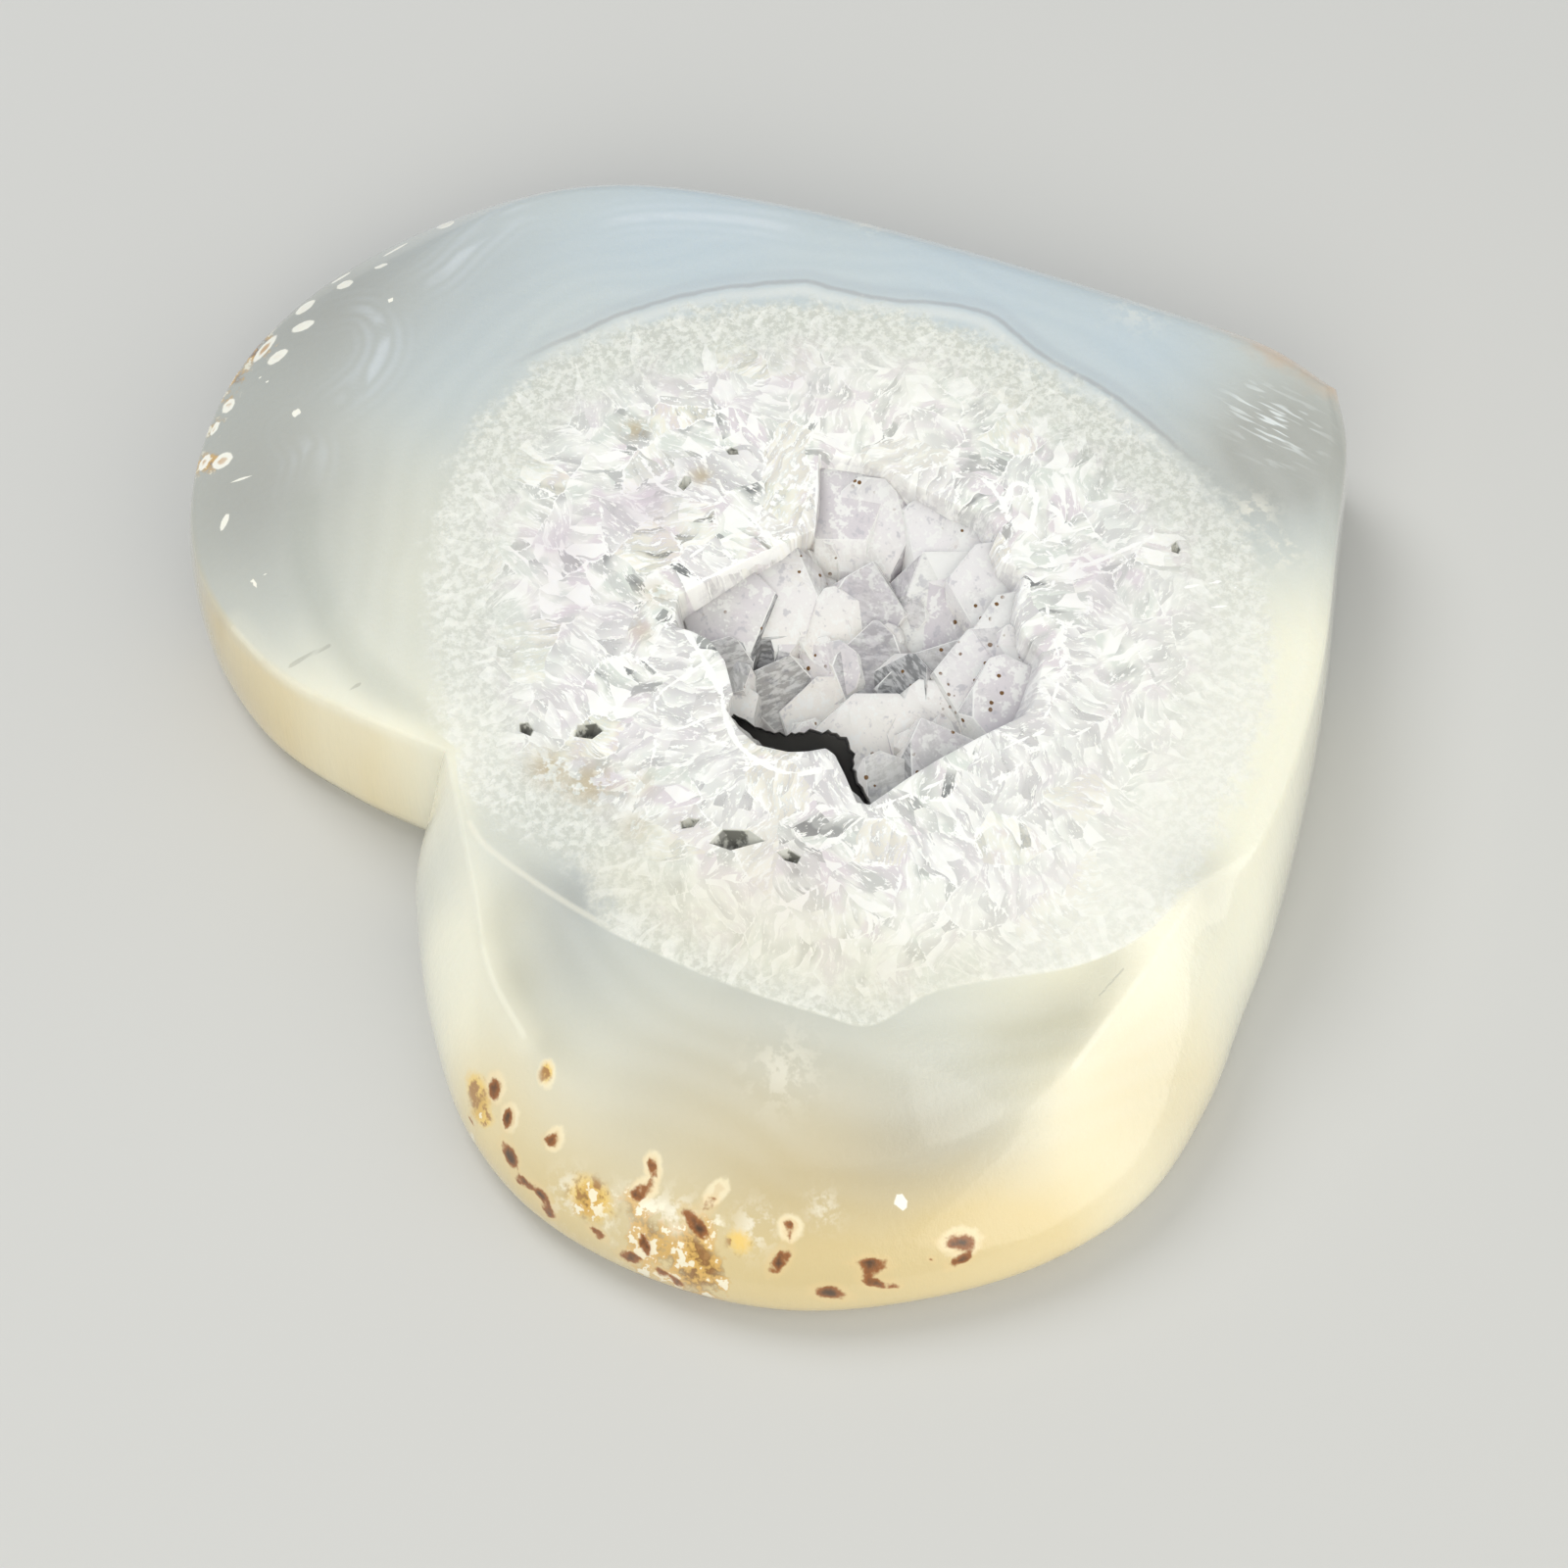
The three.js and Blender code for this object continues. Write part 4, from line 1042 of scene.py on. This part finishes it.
def chalcedony(g, place, height, cloud, fine, rough):
    """Grey, blue, cream and amber stone, with its growth bands and veils; painted shade in some grey
    patches, the fold and the dents, and painted light in some cream patches and on the bright edges and the
    crease.
    """
    tone = g.blend(g.step(cloud, 0.35, 0.65), (196, 200, 194), (208, 211, 203))
    tone = g.paint(tone, (194, 207, 214), g.value("blue"))
    # Cream: partly the stone's colour, partly painted light where light comes through the stone
    tone = g.paint(tone, (249, 247, 226), g.value("cream"), 0.9)
    # Grey: partly the stone's colour, partly painted shade
    tone = g.paint(tone, (172, 173, 167), g.value("grey"), 0.85)
    tone = g.paint(tone, (230, 195, 94), g.value("amber"), 0.55)
    # Painted shade on the near lobe's facets
    tone = g.paint(tone, (186, 184, 164), g.value("facet"), 0.75)
    rind = g.add(g.value("rind"), g.swing(fine, 0.5, 0.8))
    tone = g.paint(tone, (222, 178, 132), g.times(g.step(rind, 0.2, 0.9), g.step(height, 3.0, 11.5)), 0.6)

    # Faint bands that follow the quartz's rim
    depth = g.value("depth")
    bands = g.add(g.math("SINE", g.times(g.add(depth, g.swing(cloud, 0.5, 9.0)), 2.6)), 1.0)
    tone = g.paint(tone, (245, 247, 245), g.times(bands, 0.03, g.step(depth, -14, -1)))

    # The grey growth line, with a bluish band outside it and a pale one inside
    band = g.add(g.value("band"), g.swing(fine, 0.5, 0.5))
    whole = g.step(g.value("ends"), 0.0, 9.0)
    outer = g.math("SUBTRACT", band, 0.8)
    inner = g.add(band, 1.0)
    for middle, reach, strength, tint in ((band, (0.36, 0.05), 0.36, (148, 140, 142)),
                                          (outer, (0.8, 0.1), 0.2, (168, 176, 186)),
                                          (inner, (0.9, 0.1), 0.4, (240, 241, 236))):
        share = g.times(g.step(g.math("ABSOLUTE", middle), *reach), whole)
        tone = g.paint(tone, tint, share, strength)

    # Arcs in the far lobe, with ripples on both sides that fade out at the arcs' ends
    away = g.value("arc")
    open_arc = g.step(g.value("arc_ends"), 0.5, 5.0)
    arc = g.times(g.step(away, 0.6, 0.0), g.step(fine, 0.35, 0.55), open_arc)
    tone = g.paint(tone, (226, 232, 236), arc, 0.3)
    ripple = g.add(g.math("SINE", g.times(away, 6.5)), 1.2)
    tone = g.paint(tone, (216, 224, 232), g.times(g.step(away, 3.4, 0.0), ripple, open_arc), 0.13)

    # Painted shade along the far lobe's fold and in the dents
    tone = g.paint(tone, (170, 174, 164), g.step(g.value("fold"), 2.2, 0.0), 0.35)
    tone = g.paint(tone, (172, 172, 160), g.step(g.value("dent"), 1.2, 0.7), 0.5)
    # Painted highlights along the bright edges
    edge = g.value("bright_edge")
    broken = g.times(g.step(fine, 0.3, 0.55), g.step(edge, 0.32, 0.05))
    tone = g.paint(tone, (255, 254, 240), broken, 0.25)
    tone = g.paint(tone, (250, 246, 224), g.step(edge, 1.8, 0.2), 0.2)
    # Painted highlight along the crease
    tone = g.paint(tone, (246, 242, 226), g.step(g.value("crease"), 0.34, 0.05), 0.4)

    # Pale dashes in the tip, all one way, and frosty veils
    slanted = g.join(g.times(g.vector("DOT_PRODUCT", place, (-0.88, -0.47, 0)), 0.3),
                     g.times(g.vector("DOT_PRODUCT", place, (0.47, -0.88, 0)), 1.7))
    dashes = g.step(g.noise(slanted, 1.3, 1, 0.6, flat="2D"), 0.54, 0.68)
    tone = g.paint(tone, (240, 246, 246), g.times(dashes, g.value("tip")), 0.8)
    return g.paint(tone, (250, 246, 232), g.times(g.step(rough, 0.45, 0.6), g.value("frosty")), 0.75)


def rind_spots(g, tone, fine, rough):
    """Brown spots with pale rings, golden crust and white ovals, in the stone's old rind."""
    wobble = g.swing(rough, 0.5, 1.5)
    brown = g.add(g.value("brown"), wobble)
    rings = g.add(g.value("rings"), g.times(wobble, 0.5))
    yellow = g.add(g.value("yellow"), wobble)
    ovals = g.add(g.value("ovals"), g.times(wobble, 0.3))
    grit = g.add(g.times(rough, 0.6), g.times(fine, 0.4))
    gold = g.blend(g.step(grit, 0.45, 0.52), (118, 72, 32), (214, 170, 92))
    # Painted glints in the golden crust
    gold = g.paint(gold, (250, 244, 222), g.step(grit, 0.54, 0.57))
    honey = g.blend(g.step(grit, 0.43, 0.5), (164, 112, 44), (240, 204, 108))
    rust = g.blend(g.step(brown, 0.2, 0.95), (66, 38, 20), (150, 88, 36))

    tone = g.paint(tone, (246, 234, 200), g.step(rings, 1.25, 0.85), 0.75)
    tone = g.paint(tone, (222, 200, 158), g.step(rings, 0.75, 0.55), 0.6)
    tone = g.paint(tone, honey, g.step(yellow, 1.7, 0.6), 0.85)
    crusty = g.value("crust")
    crust = g.step(g.add(crusty, g.swing(grit, 0.5, 4.0)), 0.45, 0.95)
    tone = g.paint(tone, gold, g.times(crust, g.step(crusty, 0.05, 0.3)), 0.8)
    tone = g.paint(tone, (236, 206, 152), g.step(brown, 2.0, 1.1), 0.3)
    tone = g.paint(tone, rust, g.step(brown, 1.2, 0.8), 0.94)
    tone = g.paint(tone, (252, 250, 238), g.step(ovals, 1.15, 0.95))
    return g.paint(tone, (196, 150, 92), g.times(g.step(ovals, 0.65, 0.35), crusty), 0.8)


def flush_quartz(g, color, rough):
    """The polished quartz field's own marks, over its grain."""
    white = g.add(g.value("white"), g.swing(rough, 0.44, 2.4))
    color = g.paint(color, (255, 255, 253), g.step(white, 1.0, 0.8))
    walls = g.blend(g.step(rough, 0.42, 0.58), (190, 187, 192), (240, 239, 238))
    color = g.paint(color, walls, g.step(g.value("hollow"), 0.05, -0.4), 0.5)
    # Painted shade on the quartz under the grey patches
    color = g.paint(color, (204, 206, 202), g.value("grey"), 0.75)
    color = g.paint(color, (184, 164, 122), g.times(g.value("stain"), g.step(rough, 0.42, 0.5)), 0.7)
    color = g.paint(color, (234, 229, 206), g.value("smooth"), 0.5)
    return g.paint(color, (214, 200, 212), g.value("violet"), 0.5)


def agate_material(quartz):
    """The whole slab's material: chalcedony, and quartz where the slab was cut through it."""
    material, g, shader = new_material("polished_agate")
    place = g.place()
    height = g.split(place)[2]
    cloud = g.noise(place, 0.07, 1, 0.55)
    fine = g.noise(place, 0.35, 2, 0.6)
    rough = g.noise(place, 0.8, 3, 0.65)
    tone = chalcedony(g, place, height, cloud, fine, rough)
    tone = rind_spots(g, tone, fine, rough)

    # Quartz shows on the table, on the base and in the hollow, within a ragged rim
    depth = g.value("depth")
    grain = g.node("Group", {}, node_tree=quartz)
    g.put(depth, grain.inputs["Depth"])
    g.put(g.value("cream"), grain.inputs["Cream"])
    ragged = g.add(depth, g.swing(rough, 0.5, 5.0))
    cut = g.math("MAXIMUM", g.step(height, TABLE_Z - 0.12, TABLE_Z - 0.04), g.step(height, 0.15, 0.05))
    cut = g.math("MAXIMUM", cut, g.step(g.value("hollow"), 3.0, 2.0))
    share = g.times(g.step(ragged, -0.6, 1.8), cut)
    color = g.paint(tone, flush_quartz(g, grain.outputs["Color"], rough), share)

    # Painted shade inside the pits, below the table
    dark = g.blend(g.step(rough, 0.45, 0.58), (112, 112, 106), (204, 204, 196))
    below = g.step(height, TABLE_Z - 0.05, TABLE_Z - 0.2)
    color = g.paint(color, dark, g.times(g.step(g.value("pit"), 1.35, 1.2), below))
    # Painted shade in the gap at the hollow's rim
    crack = g.add(g.value("crack"), g.times(g.swing(rough, 0.5, 1.5), 0.8))
    color = g.paint(color, (104, 102, 98), g.step(crack, 1.2, 0.6), 0.6)
    g.put(color, shader.inputs["Base Color"])

    bump = g.node("Bump", {"Height": grain.outputs["Height"], "Strength": 0.15, "Distance": 0.0003})
    g.put(bump.outputs[0], shader.inputs["Normal"])
    g.put(g.lerp(share, g.add(g.times(cloud, 0.1), 0.1), 0.3), shader.inputs["Roughness"])
    set_values(shader, {"IOR": 1.54, "Coat Weight": 0.8, "Coat Roughness": 0.06, "Coat IOR": 1.54,
                        "Subsurface Weight": 0.12, "Subsurface Radius": (1.0, 0.85, 0.65),
                        "Subsurface Scale": 0.003})
    return material


# The hollow's corner with the most rusty specks
RUSTY_CORNER = (-11.4, -5.0, 11.0)


def crystal_material(quartz):
    """The open crystals: clear to milky, with veils, painted shade on dusky faces, painted highlights on
    the edges, some painted light low in the hollow, and rusty specks.
    """
    material, g, shader = new_material("open_quartz_crystals")
    place = g.place()
    cloud = g.noise(place, 0.25, 2, 0.6)
    veil = g.noise(place, 0.7, 3, 0.75)
    streak = g.noise(g.vector("MULTIPLY", place, (0.8, 0.8, 4)), 1.2, 3, 0.65)
    grain = g.node("Group", {"Depth": 9.0}, node_tree=quartz)
    # Lighter and warmer lower in the hollow: partly the crystals' tint, partly painted light against the
    # hollow's shade
    base = g.blend(g.step(g.split(place)[2], 11.5, 8.5), (246, 243, 245), (255, 250, 244))
    base = g.paint(base, (226, 221, 226), g.step(g.value("tint"), 0.5, 0.9))
    base = g.paint(base, (255, 255, 252), g.step(g.value("tint"), 0.3, 0.05))
    base = g.paint(base, grain.outputs["Color"], g.step(cloud, 0.42, 0.62), 0.35)
    base = g.paint(base, (255, 255, 253), g.step(veil, 0.52, 0.6), 0.8)
    base = g.paint(base, (196, 195, 203), g.step(veil, 0.44, 0.34), 0.6)
    shadow = g.blend(g.step(streak, 0.42, 0.6), (104, 106, 110), (186, 187, 190))
    base = g.paint(base, shadow, g.value("dusk"), 0.85)
    # Painted highlights on the bevelled edges
    base = g.paint(base, (255, 255, 253), g.times(g.value("edge"), g.step(cloud, 0.4, 0.58)), 0.9)

    # Rusty specks, most of them in one corner of the hollow
    rusty = g.step(g.vector("DISTANCE", place, RUSTY_CORNER), 5.5, 2.0)
    specks = g.add(g.cells(place, 1.1)["Distance"], g.times(veil, 0.3))
    where = g.math("MAXIMUM", rusty, g.step(cloud, 0.54, 0.6))
    base = g.paint(base, (122, 88, 50), g.times(g.step(specks, 0.34, 0.3), where))
    g.put(base, shader.inputs["Base Color"])

    bump = g.node("Bump", {"Height": streak, "Strength": 0.2, "Distance": 0.0002})
    g.put(bump.outputs[0], shader.inputs["Normal"])
    g.put(g.add(g.times(cloud, 0.16), 0.06), shader.inputs["Roughness"])
    set_values(shader, {"IOR": 1.544, "Transmission Weight": 0.15, "Subsurface Weight": 0.5,
                        "Subsurface Radius": (1.0, 0.95, 0.95), "Subsurface Scale": 0.003})
    return material


# Faces that look dark, because they throw the light away: position, radius, strength
DUSKY_FACES = [(-7.2, 0.2, 3.0, 1.2), (-1.6, 8.6, 2.4, 1.2), (0.6, 7.7, 1.6, 0.8), (-14.7, 3.8, 2.0, 1),
               (-13.0, -3.0, 1.5, 0.5), (-1.4, -3.2, 1.5, 0.8), (1.0, 9.8, 2.0, 1)]
# Each face draws a number from 0 to 1. Under the first limit it is dark if it lies in a dusky place, and
# over the second it is a little dark anywhere.
DUSKY_BELOW = 0.75
STRAY_ABOVE = 0.92
STRAY_DUSK = 0.3
# Faces that are narrower than this belong to a bevelled edge
NARROW = EDGE_WIDTH * 4
DUSK_SEED = 5
TINT_SEED = 8


def dusk_faces(obj):
    """Marks some of the faces in the dusky places, each as a whole, and a few elsewhere. Each face gets a
    tint of its own, and the narrow faces of the bevelled edges are marked too."""
    mesh = obj.data
    centres = np.array([face.center[:2] for face in mesh.polygons]) / MM
    drawn = np.random.default_rng(DUSK_SEED).random(len(centres))
    dusk = patches(centres, DUSKY_FACES) * (drawn < DUSKY_BELOW) + STRAY_DUSK * (drawn > STRAY_ABOVE)
    store(mesh, "dusk", dusk, "FACE")
    store(mesh, "tint", np.random.default_rng(TINT_SEED).random(len(centres)), "FACE")
    narrow = []
    for face in mesh.polygons:
        corners = [mesh.vertices[v].co for v in face.vertices]
        longest = max((a - b).length for a, b in zip(corners, corners[1:] + corners[:1]))
        narrow.append(2 * face.area < longest * NARROW * MM)
    store(mesh, "edge", narrow, "FACE")


# assembly

SHARP_ANGLE = math.radians(32)
CRYSTAL_SEED = 11

random.seed(CRYSTAL_SEED)
quartz = quartz_group()
agate = agate_material(quartz)
crystals = crystal_material(quartz)

heart = piece("polished_heart", heart_slab(), agate)
boolean(heart, piece("pit_cutter", joined([pit_cutter(*values) for values in PITS]), None), "DIFFERENCE")
boolean(heart, piece("slit_cutter", slit_cutter(), None), "DIFFERENCE")
heart.data.shade_smooth()
heart.data.set_sharp_from_angle(angle=SHARP_ANGLE)
mark(heart)

parts = [crystal(*values) for values in CRYSTALS] + small_crystals()
crust = piece("crystal_crust", parts[0], crystals)
for part in parts[1:]:
    boolean(crust, piece("one_more_crystal", part, None), "UNION")
boolean(crust, piece("slit_cutter", slit_cutter(), None), "DIFFERENCE")
crust.data.shade_flat()
dusk_faces(crust)

for obj, node, slot in ((heart, "agate_heart", "agate"), (crust, "quartz_crust", "quartz")):
    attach(obj, "root")
    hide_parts(node)


# floor, light and camera

# Each light: name, place, size, power, colour, and whether it is seen in reflections
LIGHTS = [
    ("key_light", (0.55, 0.15, 0.75), 0.5, 3.6, (1, 1, 1), False),
    ("fill_light", (-0.65, -0.3, 0.4), 1.1, 3.6, (1.0, 0.96, 0.86), True),
    ("front_light", (-0.5, 0.45, 0.55), 0.6, 3.4, (1.0, 0.97, 0.88), False),
]
SKY_COLOR = (0.9, 0.95, 1.0, 1)
SKY_STRENGTH = 0.38
FLOOR_SIZE = 1.5
LENS = 64.35
CAMERA_PLACE = (-0.10180, 0.06201, 0.18553)


def floor_plane():
    bm = bmesh.new()
    bmesh.ops.create_grid(bm, x_segments=1, y_segments=1, size=FLOOR_SIZE)
    material, _, shader = new_material("pale_floor")
    set_values(shader, {"Base Color": linear(205, 205, 203), "Roughness": 1.0, "Specular IOR Level": 0.0})
    return piece("floor", bm, material)


def area_light(name, place, size, power, color, glossy):
    """A round light that faces the stone."""
    data = bpy.data.lights.new(name, "AREA")
    data.shape = "DISK"
    data.size = size
    data.energy = power
    data.color = color
    light = bpy.data.objects.new(name, data)
    light.location = place
    light.rotation_euler = (-Vector(place)).to_track_quat("-Z", "Y").to_euler()
    light.visible_glossy = glossy
    bpy.context.scene.collection.objects.link(light)


floor = floor_plane()
for light in LIGHTS:
    area_light(*light)

world = bpy.data.worlds.new("studio")
world.use_nodes = True
set_values(world.node_tree.nodes["Background"], {"Color": SKY_COLOR, "Strength": SKY_STRENGTH})
scene = bpy.context.scene
scene.world = world
scene.view_settings.view_transform = "Standard"

camera_data = bpy.data.cameras.new("camera")
camera_data.lens = LENS
camera_data.sensor_width = 36
camera_data.clip_start = 0.01
camera = bpy.data.objects.new("camera", camera_data)
camera.location = CAMERA_PLACE
camera.rotation_euler = VIEW_IN.to_track_quat("-Z", "Y").to_euler()
scene.collection.objects.link(camera)
scene.camera = camera
